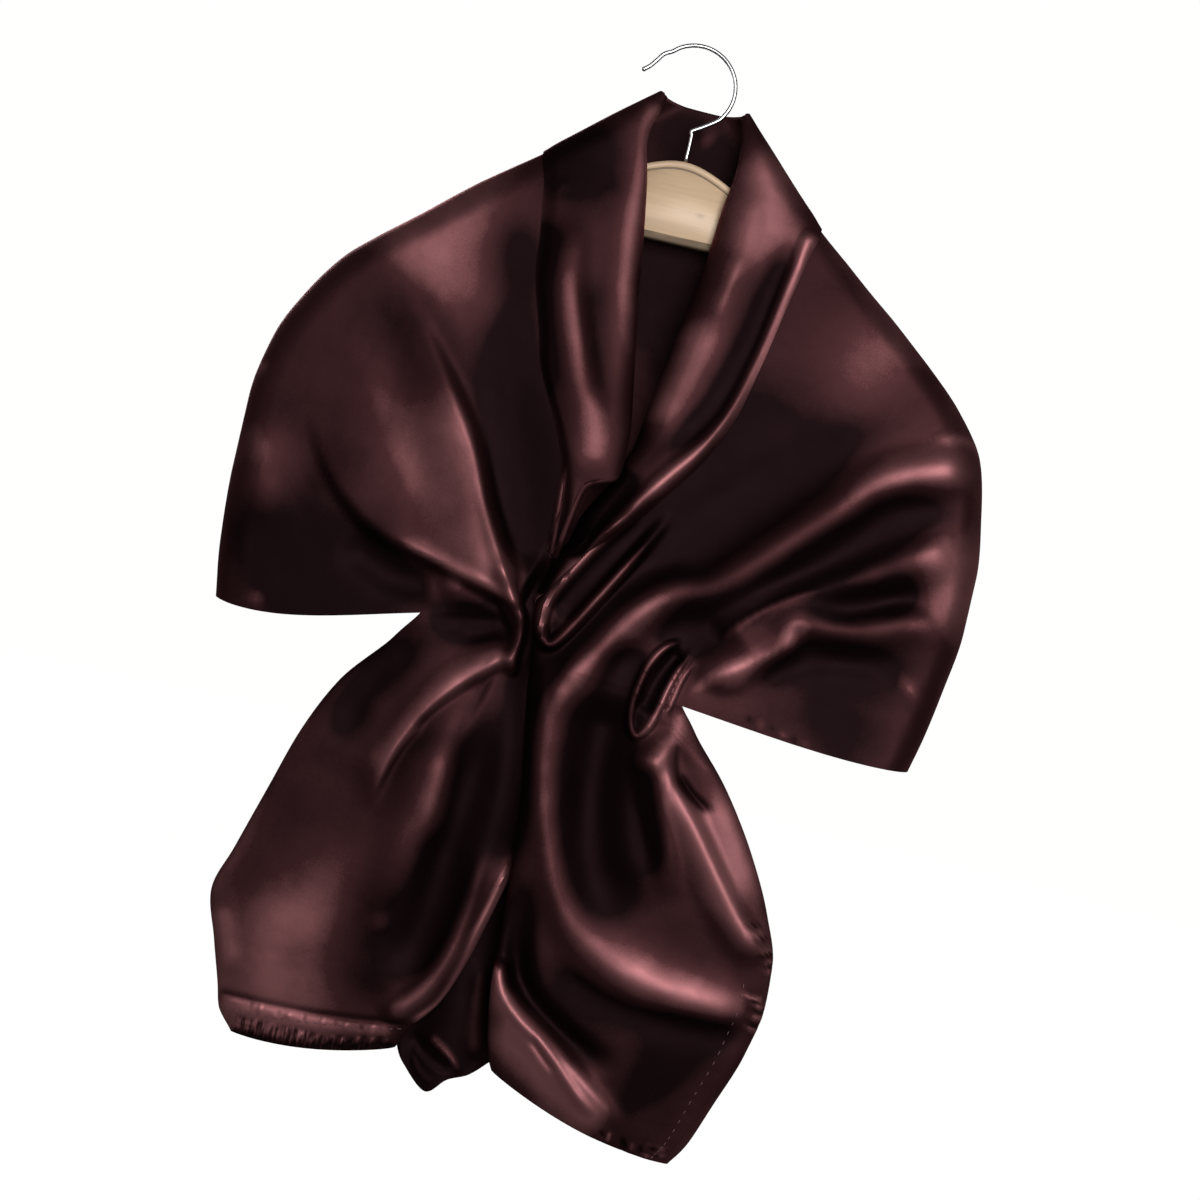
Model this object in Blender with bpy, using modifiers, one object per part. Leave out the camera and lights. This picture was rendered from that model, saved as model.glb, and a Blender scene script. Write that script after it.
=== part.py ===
"""An evening shawl of satin, hung by its inner long edge on a wooden hanger.

Millimetres are used for every size and place here, and MM turns them into metres.
x runs to the right, z up, and the front of the shawl faces -y. The origin is the
top of the hook's inside, where a rail carries it.
"""
import math

import bmesh
import bpy
import numpy as np

MM = 0.001

WALL = 1.3
SEAM = 0.4
WAIST_SEAM = 0.8
ROLL_SEAM = 0.9
LAYER_GAP = 0.9

WOOD_THICKNESS = 12.0
WOOD_CENTRE_X = 4.0
WOOD_TOP = -79.0
WOOD_BOTTOM = -135.0
WOOD_HALF_LENGTH = 204.0
ARM_SLOPE = 0.612
ARM_CREST = 25.0
UNDERSIDE_FLAT = 36.0
UNDERSIDE_SLOPE = 0.56
UNDERSIDE_CREST = 20.0
WOOD_EDGE = 2.5
ARM_END = 9.0
BOARD_STEPS = 23

WIRE_RADIUS = 1.5
HOOK_RADIUS = 28.5
HOOK_CENTRE_X = -2.0
HOOK_STARTS_AT = 134.0
HOOK_ENDS_AT = -40.0
HOOK_STEPS = 18
# The wire's free tip, before the round of the hook, and the bend down to the wood: x, z.
HOOK_TIP = ((-38.0, -22.5), (-34.5, -19.5), (-31.0, -15.0), (-27.0, -9.5))
HOOK_BEND = ((11.5, -51.5), (4.6, -55.8), (3.1, -57.6))
STEM_TOP = -60.5

EDGE_PLACES = (0.0, 0.008, 0.030, 0.093)
FRONT_PLACES = 18
END_PLACES = 12
INNER_ROUND = 12.0
OUTER_ROUND = 22.0
# The turned edges take up no more than these shares of a short rib.
INNER_ROUND_SHARE = 0.35
OUTER_ROUND_SHARE = 0.6
SHOULDER_ROWS = 1.6
SLEEVE_ROWS = 3.5
END_ROWS = 2.0
# t cubed times (1 - t) is largest at 3/4, where this makes it 1.
SAG_PEAK = 256.0 / 27.0

BACK_EDGE_PLACES = (0.0, 0.004, 0.014, 0.035)
BACK_PLACES = 10
BACK_ROUND = 18.0
BACK_ROUND_SHARE = 0.45
BACK_HEM_PARTING = 3.0

COLLAR_COLUMNS = 6
ROLL_STEPS = 3
COLLAR_LIFT = 5.0
COLLAR_CROWN = 3.0

# A rib is one line across the cloth, from its inner edge to its outer edge. The fronts
# have ribs from the neck down to the sleeve's hem and the waist seam, which are one
# line, and the ends have theirs from the waist seam down. bow lifts the middle of a
# rib, sag lifts it near the sleeve's corner, and collar is the collar's width on it.
END_RIB_COLUMNS = ("inner_x", "inner_z", "outer_x", "outer_z", "inner_y", "mid_y", "outer_y", "bow")
FRONT_RIB_COLUMNS = END_RIB_COLUMNS + ("sag", "collar")
LEFT_RIBS = (
    (-24.0, -40.0, -26.0, -38.5, -1.0, -1.2, 0.0, 0.0, 0.0, 2.5),
    (-28.0, -68.0, -50.0, -59.5, -9.0, -11.0, 0.0, 0.0, 0.0, 23.6),
    (-22.0, -100.0, -91.0, -94.5, -12.0, -14.0, 0.0, 0.0, 0.0, 69.2),
    (-16.0, -140.0, -112.0, -110.5, -14.0, -18.0, 0.0, 0.0, 0.0, 72.5),
    (-10.0, -190.0, -130.0, -124.5, -17.0, -22.0, 0.0, 0.0, 0.0, 80.0),
    (-2.0, -235.0, -146.0, -138.5, -21.0, -26.0, 0.0, 0.0, 0.0, 88.0),
    (4.0, -275.0, -162.0, -153.0, -27.0, -30.0, 0.0, 0.0, 0.0, 84.0),
    (4.0, -299.0, -176.0, -165.0, -31.0, -32.0, 0.0, 0.0, 0.0, 66.0),
    (-12.0, -313.0, -190.0, -177.0, -34.0, -33.0, 0.0, 0.0, 0.0, 24.0),
    (-16.0, -335.0, -207.0, -193.0, -35.0, -33.0, 0.0, 0.0, 0.0, 11.0),
    (-18.5, -352.0, -228.0, -224.0, -35.0, -33.0, 0.0, 0.0, 0.0, 9.5),
    (-20.5, -362.0, -243.0, -258.0, -35.0, -33.0, 0.0, 0.0, 0.0, 8.5),
    (-22.5, -371.0, -250.0, -302.0, -35.0, -33.0, 0.0, 0.0, 0.0, 8.0),
    (-24.5, -378.5, -250.0, -350.0, -35.0, -33.0, 0.0, 0.0, 0.0, 7.5),
    (-26.0, -388.0, -247.0, -402.0, -34.0, -32.0, 0.0, 0.0, -2.0, 7.5),
    (-28.0, -400.0, -241.0, -439.0, -31.0, -33.0, -3.0, 0.0, -10.0, 7.0),
)
RIGHT_RIBS = (
    (41.0, -40.0, 42.0, -39.0, -1.0, -1.2, 0.0, 0.0, 0.0, 1.5),
    (42.0, -70.0, 68.0, -69.5, -9.0, -11.0, 0.0, 0.0, 0.0, 26.0),
    (40.5, -105.0, 104.0, -103.5, -12.0, -14.0, 0.0, 0.0, 0.0, 63.5),
    (37.5, -150.0, 128.0, -122.5, -12.0, -18.0, 0.0, 0.0, 0.0, 64.5),
    (31.0, -200.0, 148.0, -138.5, -12.0, -22.0, 0.0, 0.0, 0.0, 69.0),
    (24.0, -245.0, 167.0, -153.0, -12.0, -25.0, 0.0, 0.0, 0.0, 72.5),
    (18.0, -280.0, 184.0, -167.0, -13.0, -27.0, 0.0, 0.0, 0.0, 72.0),
    (6.0, -305.0, 203.0, -183.0, -15.0, -29.0, 0.0, -5.0, 0.0, 68.0),
    (-8.0, -332.0, 224.0, -203.0, -17.0, -31.0, 0.0, -12.0, 0.0, 50.0),
    (-16.0, -358.0, 246.0, -234.0, -20.0, -33.0, 0.0, -22.0, 0.0, 16.0),
    (-20.0, -378.0, 255.0, -270.0, -26.0, -33.0, 0.0, -18.0, 0.0, 8.0),
    (-20.0, -388.0, 261.0, -312.0, -31.0, -33.0, 0.0, -10.0, 0.0, 0.0),
    (-20.0, -396.0, 261.0, -350.0, -33.0, -33.0, 0.0, -5.0, 0.0, 0.0),
    (-20.0, -405.0, 256.0, -392.0, -33.0, -33.0, 0.0, 0.0, 0.0, 0.0),
    (-20.0, -416.0, 250.0, -428.0, -33.0, -34.0, 0.0, 0.0, -1.0, 0.0),
    (-20.0, -428.0, 244.5, -450.0, -33.0, -36.0, -3.0, 0.0, -4.5, 0.0),
)
LEFT_END_RIBS = (
    (-28.0, -400.0, -101.0, -415.9, -31.0, -33.0, -29.0, 0.6),
    (-23.0, -416.0, -116.0, -440.0, -18.0, -32.0, -27.0, 1.0),
    (-14.0, -442.0, -144.0, -475.0, -15.0, -32.0, -25.0, 0.0),
    (-5.0, -475.0, -162.0, -514.0, -14.0, -32.0, -24.0, 0.0),
    (0.0, -515.0, -175.0, -557.0, -14.0, -31.0, -23.0, 0.0),
    (1.0, -556.0, -188.0, -601.0, -14.0, -30.0, -22.0, 0.0),
    (-8.0, -600.0, -197.0, -632.0, -16.0, -29.0, -21.0, 0.0),
    (-18.0, -640.0, -188.0, -664.0, -16.0, -28.0, -20.0, 0.0),
    (-30.0, -672.0, -179.0, -693.0, -16.0, -26.0, -19.0, 0.0),
    (-46.0, -694.0, -175.0, -708.0, -17.0, -24.0, -18.0, -3.0),
    (-53.0, -709.0, -163.0, -723.0, -17.0, -22.0, -18.0, -6.0),
)
RIGHT_END_RIBS = (
    (-20.0, -428.0, 84.0, -438.2, -33.0, -36.0, -31.0, 0.0),
    (-20.0, -440.0, 97.0, -457.0, -32.0, -36.0, -30.0, 0.0),
    (-17.0, -460.0, 124.0, -487.0, -30.0, -35.0, -28.0, 0.0),
    (-13.0, -485.0, 151.0, -526.0, -28.0, -34.0, -27.0, 0.0),
    (-8.0, -515.0, 171.0, -564.0, -26.0, -33.0, -26.0, 0.0),
    (-4.0, -555.0, 182.5, -597.0, -25.0, -32.0, -25.0, 0.0),
    (-1.0, -600.0, 184.0, -626.0, -24.0, -31.0, -24.0, 0.0),
    (1.0, -645.0, 178.0, -660.0, -23.0, -30.0, -23.0, 0.0),
    (6.0, -682.0, 165.0, -698.0, -22.0, -28.0, -22.0, 0.0),
    (12.0, -704.0, 153.0, -730.0, -21.0, -26.0, -21.0, -4.0),
    (14.5, -709.0, 144.0, -744.0, -20.0, -24.0, -20.0, -8.0),
)
SLEEVE_RIB = 9
HEM_RIB = 15
LAST_END_RIB = 10
LEFT_COLLAR_ENDS = 11.0
RIGHT_COLLAR_ENDS = 9.3
NECK_ROW = 0.3
LEFT_HEM_RIB = 9.0
RIGHT_HEM_RIB = 5.2
HEM_RISE = 0.05

# The back hangs between the two shoulder and sleeve lines. depth is how far behind
# the hanger's middle it is, arch lifts the middle of the row, one row for each rib.
BACK_ROWS = (
    # rib, depth, arch
    (0.0, 18.0, -1.5),
    (1.0, 18.0, 0.0),
    (2.0, 16.0, 0.0),
    (5.0, 18.0, 0.0),
    (9.0, 21.0, 0.0),
    (11.0, 24.0, 3.0),
    (13.0, 26.0, 16.0),
    (15.0, 27.0, 34.0),
)
BACK_COLLAR_SIDE = 2.0
BACK_COLLAR_DROP = 1.6

# A fold stands out of the cloth by its height along a line of x, z places. left and right
# are its widths on the two sides of the way the line runs, and rise and fall are the
# parts of the line, at its start and end, where it fades out.
LEFT_FOLDS = {
    # height, left, right, rise, fall, line
    "panel_ridge": (13.0, 34.0, 13.0, 0.06, 0.35,
                    ((-40, -424), (-44, -402), (-60, -373), (-90, -322), (-126, -264), (-165, -208))),
    "panel_edge": (10.0, 3.5, 34.0, 0.05, 0.3,
                   ((-34, -399), (-64, -391), (-103, -382), (-143, -371), (-178, -342), (-205, -300))),
    "shoulder_hollow": (-6.0, 17.0, 17.0, 0.3, 0.3, ((-200, -215), (-168, -252), (-128, -310))),
    "sleeve_swell": (5.0, 13.0, 13.0, 0.3, 0.3, ((-238, -310), (-224, -345), (-214, -395))),
    "under_panel": (-5.0, 12.0, 12.0, 0.2, 0.3, ((-80, -396), (-120, -399), (-165, -380))),
    "tip_ridge": (9.0, 6.0, 12.0, 0.1, 0.3, ((-34, -428), (-55, -448), (-82, -478), (-100, -515), (-107, -560))),
    "end_ridge": (9.0, 16.0, 18.0, 0.3, 0.3, ((-50, -455), (-66, -505), (-73, -560), (-82, -640))),
    "end_hollow": (-7.0, 14.0, 14.0, 0.25, 0.25, ((-42, -460), (-44, -540), (-52, -620), (-66, -672))),
    "inner_ridge": (6.0, 7.0, 7.0, 0.2, 0.1, ((-24, -560), (-27, -610), (-40, -660), (-66, -692))),
    "side_hollow": (-6.0, 14.0, 14.0, 0.25, 0.3, ((-98, -425), (-125, -470), (-138, -520))),
    "tucked_edge": (-9.0, 16.0, 16.0, 0.2, 0.2, ((-20, -425), (-10, -460), (-2, -500), (2, -545), (-4, -585))),
}
RIGHT_FOLDS = {
    # height, left, right, rise, fall, line
    "hairpin": (9.0, 7.0, 6.0, 0.1, 0.25,
                ((-8, -362), (-16, -384), (-16, -402), (-9, -409), (2, -394), (20, -358), (38, -327))),
    "sweep": (15.0, 16.0, 16.0, 0.06, 0.06,
              ((244, -240), (184, -262), (150, -297), (92, -356), (62, -368), (36, -390), (6, -436), (-3, -474),
               (14, -540), (42, -597), (88, -626), (140, -634), (176, -630))),
    "sweep_hollow": (-7.0, 20.0, 20.0, 0.2, 0.25, ((50, -345), (100, -300), (140, -250), (190, -222))),
    "upper_pleat": (12.0, 9.0, 15.0, 0.1, 0.2, ((99, -392), (122, -366), (165, -342), (214, -310), (244, -296))),
    "lower_pleat": (12.0, 8.0, 12.0, 0.2, 0.2,
                    ((90, -424), (104, -410), (136, -387), (148, -368), (186, -366), (222, -352), (247, -372))),
    "pleat_pocket": (-8.0, 9.0, 9.0, 0.3, 0.2, ((120, -385), (170, -356), (214, -334))),
    "waist_loop": (5.0, 6.0, 6.0, 0.15, 0.15, ((84, -398), (64, -424), (53, -455), (60, -466), (72, -442), (82, -414))),
    "end_hollow": (-10.0, 17.0, 17.0, 0.15, 0.3, ((36, -440), (36, -500), (52, -560), (90, -592))),
    "middle_pleat": (8.0, 9.0, 9.0, 0.2, 0.3, ((70, -468), (72, -494), (92, -532), (108, -572))),
    "side_pleat": (11.0, 9.0, 11.0, 0.1, 0.15, ((84, -452), (80, -482), (110, -520), (150, -570), (178, -595))),
    "foot_fold": (8.0, 6.0, 13.0, 0.1, 0.2, ((2, -632), (14, -656), (56, -688), (112, -730))),
    "foot_hollow": (-7.0, 8.0, 8.0, 0.3, 0.3, ((8, -590), (20, -645), (60, -676), (100, -690))),
}
BACK_FOLDS = {
    "left_drop": (5.0, 18.0, 22.0, 0.3, 0.02, ((-60, -190), (-78, -300), (-96, -440))),
    "right_drop": (5.0, 22.0, 18.0, 0.3, 0.02, ((70, -190), (92, -310), (112, -450))),
    "middle_drop": (4.0, 22.0, 22.0, 0.3, 0.02, ((8, -230), (2, -330), (4, -440))),
    "left_sling": (4.0, 16.0, 16.0, 0.25, 0.3, ((-190, -215), (-120, -262), (-40, -285))),
    "right_sling": (4.0, 16.0, 16.0, 0.25, 0.3, ((205, -225), (130, -272), (50, -292))),
}
LEFT_COLLAR_FOLDS = {
    "crown": (5.0, 12.0, 14.0, 0.2, 0.3, ((-62, -130), (-54, -185), (-34, -235), (-10, -290))),
}
RIGHT_COLLAR_FOLDS = {
    "rolled_edge": (5.0, 6.0, 7.0, 0.02, 0.05,
                    ((99, -108), (91, -162), (82, -212), (68, -255), (38, -298), (12, -330), (-6, -356))),
    "crown": (4.0, 13.0, 13.0, 0.2, 0.3, ((52, -80), (52, -150), (42, -220))),
}

# The inner layer of the left end hangs behind it from the waist and shows between the
# two ends. left and right are its two sides at each height.
TAIL_ROWS = (
    # z, left, right, y
    (-454.0, -52.0, -28.0, -9.0),
    (-500.0, -54.0, -8.0, 5.0),
    (-560.0, -58.0, 14.0, 6.0),
    (-620.0, -62.0, 26.0, 4.0),
    (-670.0, -64.0, 26.0, 0.0),
    (-706.0, -54.0, 12.5, -3.0),
)
TAIL_FOOT = ((-54.0, -707.0), (-46.0, -722.0), (-27.0, -737.0), (-14.0, -726.0), (0.0, -720.0), (12.5, -707.0))
# The tail's top lies against these rows and columns of the left end's mesh.
TAIL_SEAT_ROWS = slice(1, 3)
TAIL_SEAT_COLUMNS = slice(7, 2, -1)
TAIL_GAP = 0.6
TAIL_STEPS = 10
TAIL_WIDTH_STEPS = 10
TAIL_WAVE = 2.5
TAIL_WAVES = 1.5

SATIN = (0.085, 0.030, 0.036, 1.0)
WOOD = (0.74, 0.56, 0.38, 1.0)
STEEL = (0.62, 0.63, 0.65, 1.0)


def table_at(rows, at):
    """Every column of a table at the row numbers in at, smooth and without overshoot."""
    rows = np.asarray(rows, float)
    at = np.clip(np.asarray(at, float), 0.0, len(rows) - 1.0)
    step = np.diff(rows, axis=0)
    product = step[:-1] * step[1:]
    total = step[:-1] + step[1:]
    slope = np.zeros_like(rows)
    inside = np.where(product > 0.0, 2.0 * product / np.where(total == 0.0, 1.0, total), 0.0)
    slope[1:-1] = inside
    slope[0] = step[0]
    slope[-1] = step[-1]
    low = np.minimum(at.astype(int), len(rows) - 2)
    u = (at - low)[..., None]
    return ((2 * u**3 - 3 * u**2 + 1) * rows[low] + (u**3 - 2 * u**2 + u) * slope[low]
            + (3 * u**2 - 2 * u**3) * rows[low + 1] + (u**3 - u**2) * slope[low + 1])


def smooth_line(points, steps=6):
    """A curve through a few points, as a list of short straight runs."""
    points = np.asarray(points, float)
    ends = np.vstack([2 * points[0] - points[1], points, 2 * points[-1] - points[-2]])
    u = np.linspace(0.0, 1.0, steps, endpoint=False)[:, None]
    runs = []
    for before, start, stop, after in zip(ends, ends[1:], ends[2:], ends[3:]):
        runs.append(0.5 * (2 * start + (stop - before) * u
                           + (2 * before - 5 * start + 4 * stop - after) * u**2
                           + (3 * start - before - 3 * stop + after) * u**3))
    return np.vstack(runs + [points[-1:]])


def ease(k):
    k = np.clip(k, 0.0, 1.0)
    return k * k * (3.0 - 2.0 * k)


def relief(x, z, folds):
    """How far the folds stand out at each place."""
    out = np.zeros_like(x)
    for height, left, right, rise, fall, line in folds.values():
        run = smooth_line(line)
        best = np.full_like(x, np.inf)
        side = np.zeros_like(x)
        along = np.zeros_like(x)
        spans = len(run) - 1
        for number, (start, stop) in enumerate(zip(run, run[1:])):
            way = stop - start
            length = np.hypot(*way)
            k = np.clip(((x - start[0]) * way[0] + (z - start[1]) * way[1]) / length**2, 0.0, 1.0)
            apart = np.hypot(x - start[0] - k * way[0], z - start[1] - k * way[1])
            turn = way[0] * (z - start[1]) - way[1] * (x - start[0])
            nearer = apart < best
            best = np.where(nearer, apart, best)
            side = np.where(nearer, turn, side)
            along = np.where(nearer, (number + k) / spans, along)
        width = np.where(side > 0.0, left, right)
        shape = np.exp(-(best / width)**2)
        out += height * shape * ease(along / rise) * ease((1.0 - along) / fall)
    return out


def rounding(distance, size):
    return np.sqrt(1.0 - (1.0 - np.clip(distance / size, 0.0, 1.0))**2)


def front(ribs, folds, at, across):
    """The middle of a front's cloth, for rows at and places across each rib, 0 to 1."""
    table = table_at(ribs, at).T[..., None]
    inner_x, inner_z, outer_x, outer_z, inner_y, mid_y, outer_y, bow = table[:8]
    sag = table[8] if len(table) > len(END_RIB_COLUMNS) else 0.0
    t = np.broadcast_to(across, (len(at), across.shape[-1]))
    length = np.hypot(outer_x - inner_x, outer_z - inner_z)
    x = inner_x + t * (outer_x - inner_x)
    z = inner_z + t * (outer_z - inner_z) + bow * 4 * t * (1 - t) + sag * SAG_PEAK * t**3 * (1 - t)
    inner = rounding(t * length, np.minimum(INNER_ROUND, INNER_ROUND_SHARE * length))
    outer = rounding((1 - t) * length, np.minimum(OUTER_ROUND, OUTER_ROUND_SHARE * length))
    y = mid_y + (inner_y - mid_y) * (1 - inner) + (outer_y - mid_y) * (1 - outer)
    hold = outer if len(table) > len(END_RIB_COLUMNS) else 1.0
    return np.stack([x, y - relief(x, z, folds) * hold, z], axis=-1)


def back(at, across):
    """The middle of the back's cloth, left sleeve line to right sleeve line."""
    rib, depth, arch = np.array(BACK_ROWS).T
    left = table_at(LEFT_RIBS, at)[:, 2:4]
    right = table_at(RIGHT_RIBS, at)[:, 2:4]
    depth = np.interp(at, rib, depth)[:, None]
    arch = np.interp(at, rib, arch)[:, None]
    t = across[None, :]
    span = right[:, [0]] - left[:, [0]]
    x = left[:, [0]] + t * span
    z = left[:, [1]] + t * (right[:, [1]] - left[:, [1]]) + arch * 4 * t * (1 - t)
    size = np.minimum(BACK_ROUND, BACK_ROUND_SHARE * span)
    turned = rounding(t * span, size) * rounding((1 - t) * span, size)
    corner = BACK_HEM_PARTING * ease(at[:, None] - (HEM_RIB - 1.0)) * (1 - turned)
    y = depth * turned + relief(x, z, BACK_FOLDS) * turned + corner
    return np.stack([x, y, z], axis=-1)


def normals(points):
    """Unit normals of a grid of points, towards the side that its rows and columns give."""
    down = np.gradient(points, axis=0)
    over = np.gradient(points, axis=1)
    out = np.cross(over, down)
    return out / np.maximum(np.linalg.norm(out, axis=-1, keepdims=True), 1e-9)


def part_rows(points, first=0.0, last=0.0):
    """Draws the first and last rows back from a seam, each by its own distance."""
    points = points.copy()
    for end, inside, gap in ((0, 1, first), (-1, -2, last)):
        way = points[inside] - points[end]
        points[end] += way / np.maximum(np.linalg.norm(way, axis=-1, keepdims=True), 1e-9) * gap
    return points


def part_columns(points, first=0.0, last=0.0):
    return part_rows(points.swapaxes(0, 1), first, last).swapaxes(0, 1)


def inset(ribs, at, places, gap):
    """Places across each rib once its inner end is drawn back from a seam."""
    rib = table_at(ribs, at)
    length = np.hypot(rib[:, 2] - rib[:, 0], rib[:, 3] - rib[:, 1])[:, None]
    return gap / length + places * (1.0 - gap / length)


def material(name, colour, roughness, metallic):
    made = bpy.data.materials.new(name)
    made.use_nodes = True
    shader = made.node_tree.nodes["Principled BSDF"]
    shader.inputs["Base Color"].default_value = colour
    shader.inputs["Roughness"].default_value = roughness
    shader.inputs["Metallic"].default_value = metallic
    return made


def add_object(name, mesh, finish):
    made = bpy.data.objects.new(name, mesh)
    mesh.materials.append(finish)
    bpy.data.collections["evening_shawl_on_hanger"].objects.link(made)
    return made


def cloth(name, points, finish):
    """A wall of cloth about a grid of points."""
    rows, columns = points.shape[:2]
    grid = bmesh.new()
    bmesh.ops.create_grid(grid, x_segments=rows - 1, y_segments=columns - 1, size=1.0)
    for vertex in grid.verts:
        row = round((vertex.co.x + 1) / 2 * (rows - 1))
        column = round((vertex.co.y + 1) / 2 * (columns - 1))
        vertex.co = points[row, column] * MM
    mesh = bpy.data.meshes.new(name)
    grid.to_mesh(mesh)
    grid.free()
    mesh.shade_smooth()
    made = add_object(name, mesh, finish)
    shell = made.modifiers.new("cloth", "SOLIDIFY")
    shell.thickness = WALL * MM
    shell.offset = 0.0
    return made


def front_rows(start, stop=HEM_RIB):
    """The rows of a front's mesh between two ribs: closer together down the sleeve."""
    shoulder = np.linspace(0.0, SLEEVE_RIB, round(SLEEVE_RIB * SHOULDER_ROWS) + 1)
    sleeve = np.linspace(SLEEVE_RIB, HEM_RIB, round((HEM_RIB - SLEEVE_RIB) * SLEEVE_ROWS) + 1)
    every = np.concatenate([shoulder, sleeve[1:]])
    return np.concatenate([[start], every[(every > start + 0.1) & (every < stop - 0.1)], [stop]])


def end_rows():
    return np.linspace(0.0, LAST_END_RIB, round(LAST_END_RIB * END_ROWS) + 1)


def across(edge, count):
    """Places across a rib, 0 to 1, closer together where the cloth turns at both sides."""
    middle = np.linspace(edge[-1], 1.0 - edge[-1], count + 1)
    return np.concatenate([edge[:-1], middle, 1.0 - np.array(edge[-2::-1])])


def rolled(edge, way, out):
    """A half turn of cloth round an edge, from its inside to COLLAR_LIFT outside it."""
    turns = np.radians(np.linspace(-90.0, 90.0, ROLL_STEPS + 1)[:-1])
    reach = COLLAR_LIFT / 2
    return [edge + out * reach * (1 + math.sin(turn)) + way * reach * math.cos(turn) for turn in turns]


def collar(ribs, folds, collar_folds, at):
    """A front's collar: a roll round its inner edge, then the cloth turned back over it."""
    rib = table_at(ribs, at)
    length = np.hypot(rib[:, 2] - rib[:, 0], rib[:, 3] - rib[:, 1])[:, None]
    width = rib[:, [FRONT_RIB_COLUMNS.index("collar")]]
    fraction = np.linspace(0.0, 1.0, COLLAR_COLUMNS + 1)[None, :]
    places = fraction * np.minimum(width / length, 1.0)
    base = front(ribs, folds, at, places)
    out = outward(front(ribs, {}, at, places))
    crown = COLLAR_CROWN * np.sin(math.pi * fraction) * ease(width / 40.0)
    extra = relief(base[..., 0], base[..., 2], collar_folds)
    laid = base + out * (COLLAR_LIFT + crown + extra)[..., None]
    inward = base[:, 0] - base[:, 1]
    inward /= np.maximum(np.linalg.norm(inward, axis=-1, keepdims=True), 1e-9)
    roll = np.stack(rolled(base[:, 0], inward, out[:, 0]), axis=1)
    return np.concatenate([roll, laid], axis=1)


def outward(points):
    """Normals of a grid, turned to point away from the hanger's plane."""
    out = normals(points)
    return out * np.sign((out[..., 1] * points[..., 1]).sum())


def back_collar():
    """The collar behind the neck: a roll along the back's top row, then turned down."""
    places = across(BACK_EDGE_PLACES, BACK_PLACES)
    drop = BACK_COLLAR_SIDE + BACK_COLLAR_DROP * np.sin(math.pi * places)
    base = np.stack([np.stack([back(np.array([fall * lowest]), np.array([place]))[0, 0]
                               for place, lowest in zip(places, drop)])
                     for fall in np.linspace(0.0, 1.0, COLLAR_COLUMNS + 1)])
    out = outward(base)
    up = base[0] - base[1]
    up /= np.linalg.norm(up, axis=-1, keepdims=True)
    return np.concatenate([np.array(rolled(base[0], up, out[0])), base + out * COLLAR_LIFT], axis=0)


def add_fronts(satin):
    places = across(EDGE_PLACES, FRONT_PLACES)
    at = front_rows(NECK_ROW)
    for name, ribs, folds in (("left_front", LEFT_RIBS, LEFT_FOLDS), ("right_front", RIGHT_RIBS, RIGHT_FOLDS)):
        points = front(ribs, folds, at, inset(ribs, at, places, ROLL_SEAM))
        cloth(name, part_columns(part_rows(points, last=WAIST_SEAM / 2), last=SEAM / 2), satin)


def add_ends(satin):
    """The two ends, and their hems, turned to the inside and lying behind them."""
    places = across(EDGE_PLACES, END_PLACES)
    at = end_rows()
    for name, ribs, folds in (("left_end", LEFT_END_RIBS, LEFT_FOLDS), ("right_end", RIGHT_END_RIBS, RIGHT_FOLDS)):
        cloth(name, part_rows(front(ribs, folds, at, places), first=WAIST_SEAM / 2), satin)
    left = front(LEFT_END_RIBS, LEFT_FOLDS, at[at >= LEFT_HEM_RIB] - HEM_RISE, places[2:-2])
    right = front(RIGHT_END_RIBS, RIGHT_FOLDS, at[at > RIGHT_HEM_RIB], places[-4:-2])
    for name, points in (("left_end_hem", left), ("right_end_hem", right)):
        points[..., 1] += WALL + LAYER_GAP
        cloth(name, points, satin)


def add_collars(satin):
    left = collar(LEFT_RIBS, LEFT_FOLDS, LEFT_COLLAR_FOLDS, front_rows(NECK_ROW / 2, LEFT_COLLAR_ENDS))
    cloth("left_collar", part_columns(left, last=SEAM / 2), satin)
    right = collar(RIGHT_RIBS, RIGHT_FOLDS, RIGHT_COLLAR_FOLDS, front_rows(NECK_ROW / 2, RIGHT_COLLAR_ENDS))
    cloth("right_collar", part_columns(right, last=SEAM / 2), satin)
    cloth("back_collar", part_columns(back_collar(), first=SEAM / 2, last=SEAM / 2), satin)


def add_back(satin):
    points = back(front_rows(0.0), across(BACK_EDGE_PLACES, BACK_PLACES))
    points = part_rows(points, first=ROLL_SEAM)
    cloth("back_panel", part_columns(points, first=SEAM / 2, last=SEAM / 2), satin)


def add_tail(satin):
    """The inner layer, from its seat behind the waist down to its pointed foot."""
    share = np.linspace(0.0, 1.0, TAIL_WIDTH_STEPS + 1)
    panel = front(LEFT_END_RIBS, LEFT_FOLDS, end_rows(), across(EDGE_PLACES, END_PLACES))
    under = panel - outward(panel) * (WALL + TAIL_GAP)
    under = under[TAIL_SEAT_ROWS, TAIL_SEAT_COLUMNS]
    known = np.linspace(0.0, 1.0, under.shape[1])
    seat = np.array([[np.interp(share, known, row[:, axis]) for axis in range(3)] for row in under])
    seat = seat.swapaxes(1, 2)
    foot = smooth_line(TAIL_FOOT)
    foot_x = TAIL_FOOT[0][0] + share * (TAIL_FOOT[-1][0] - TAIL_FOOT[0][0])
    foot_drop = np.interp(foot_x, foot[:, 0], foot[:, 1]) - TAIL_ROWS[-1][0]
    last = len(TAIL_ROWS) - 1
    rows = []
    for at in np.linspace(0.0, last, TAIL_STEPS + 1):
        z, left, right, y = table_at(TAIL_ROWS, at)
        x = left + share * (right - left)
        depth = y + TAIL_WAVE * np.sin(share * TAIL_WAVES * 2 * math.pi) * ease(at)
        rows.append(np.stack([x, depth, z + foot_drop * ease(at - last + 1)], axis=-1))
    cloth("tail", np.concatenate([seat, np.array(rows)]), satin)


def arm_drop(distance, slope, crest):
    return slope * (math.hypot(distance, crest) - crest)


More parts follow.
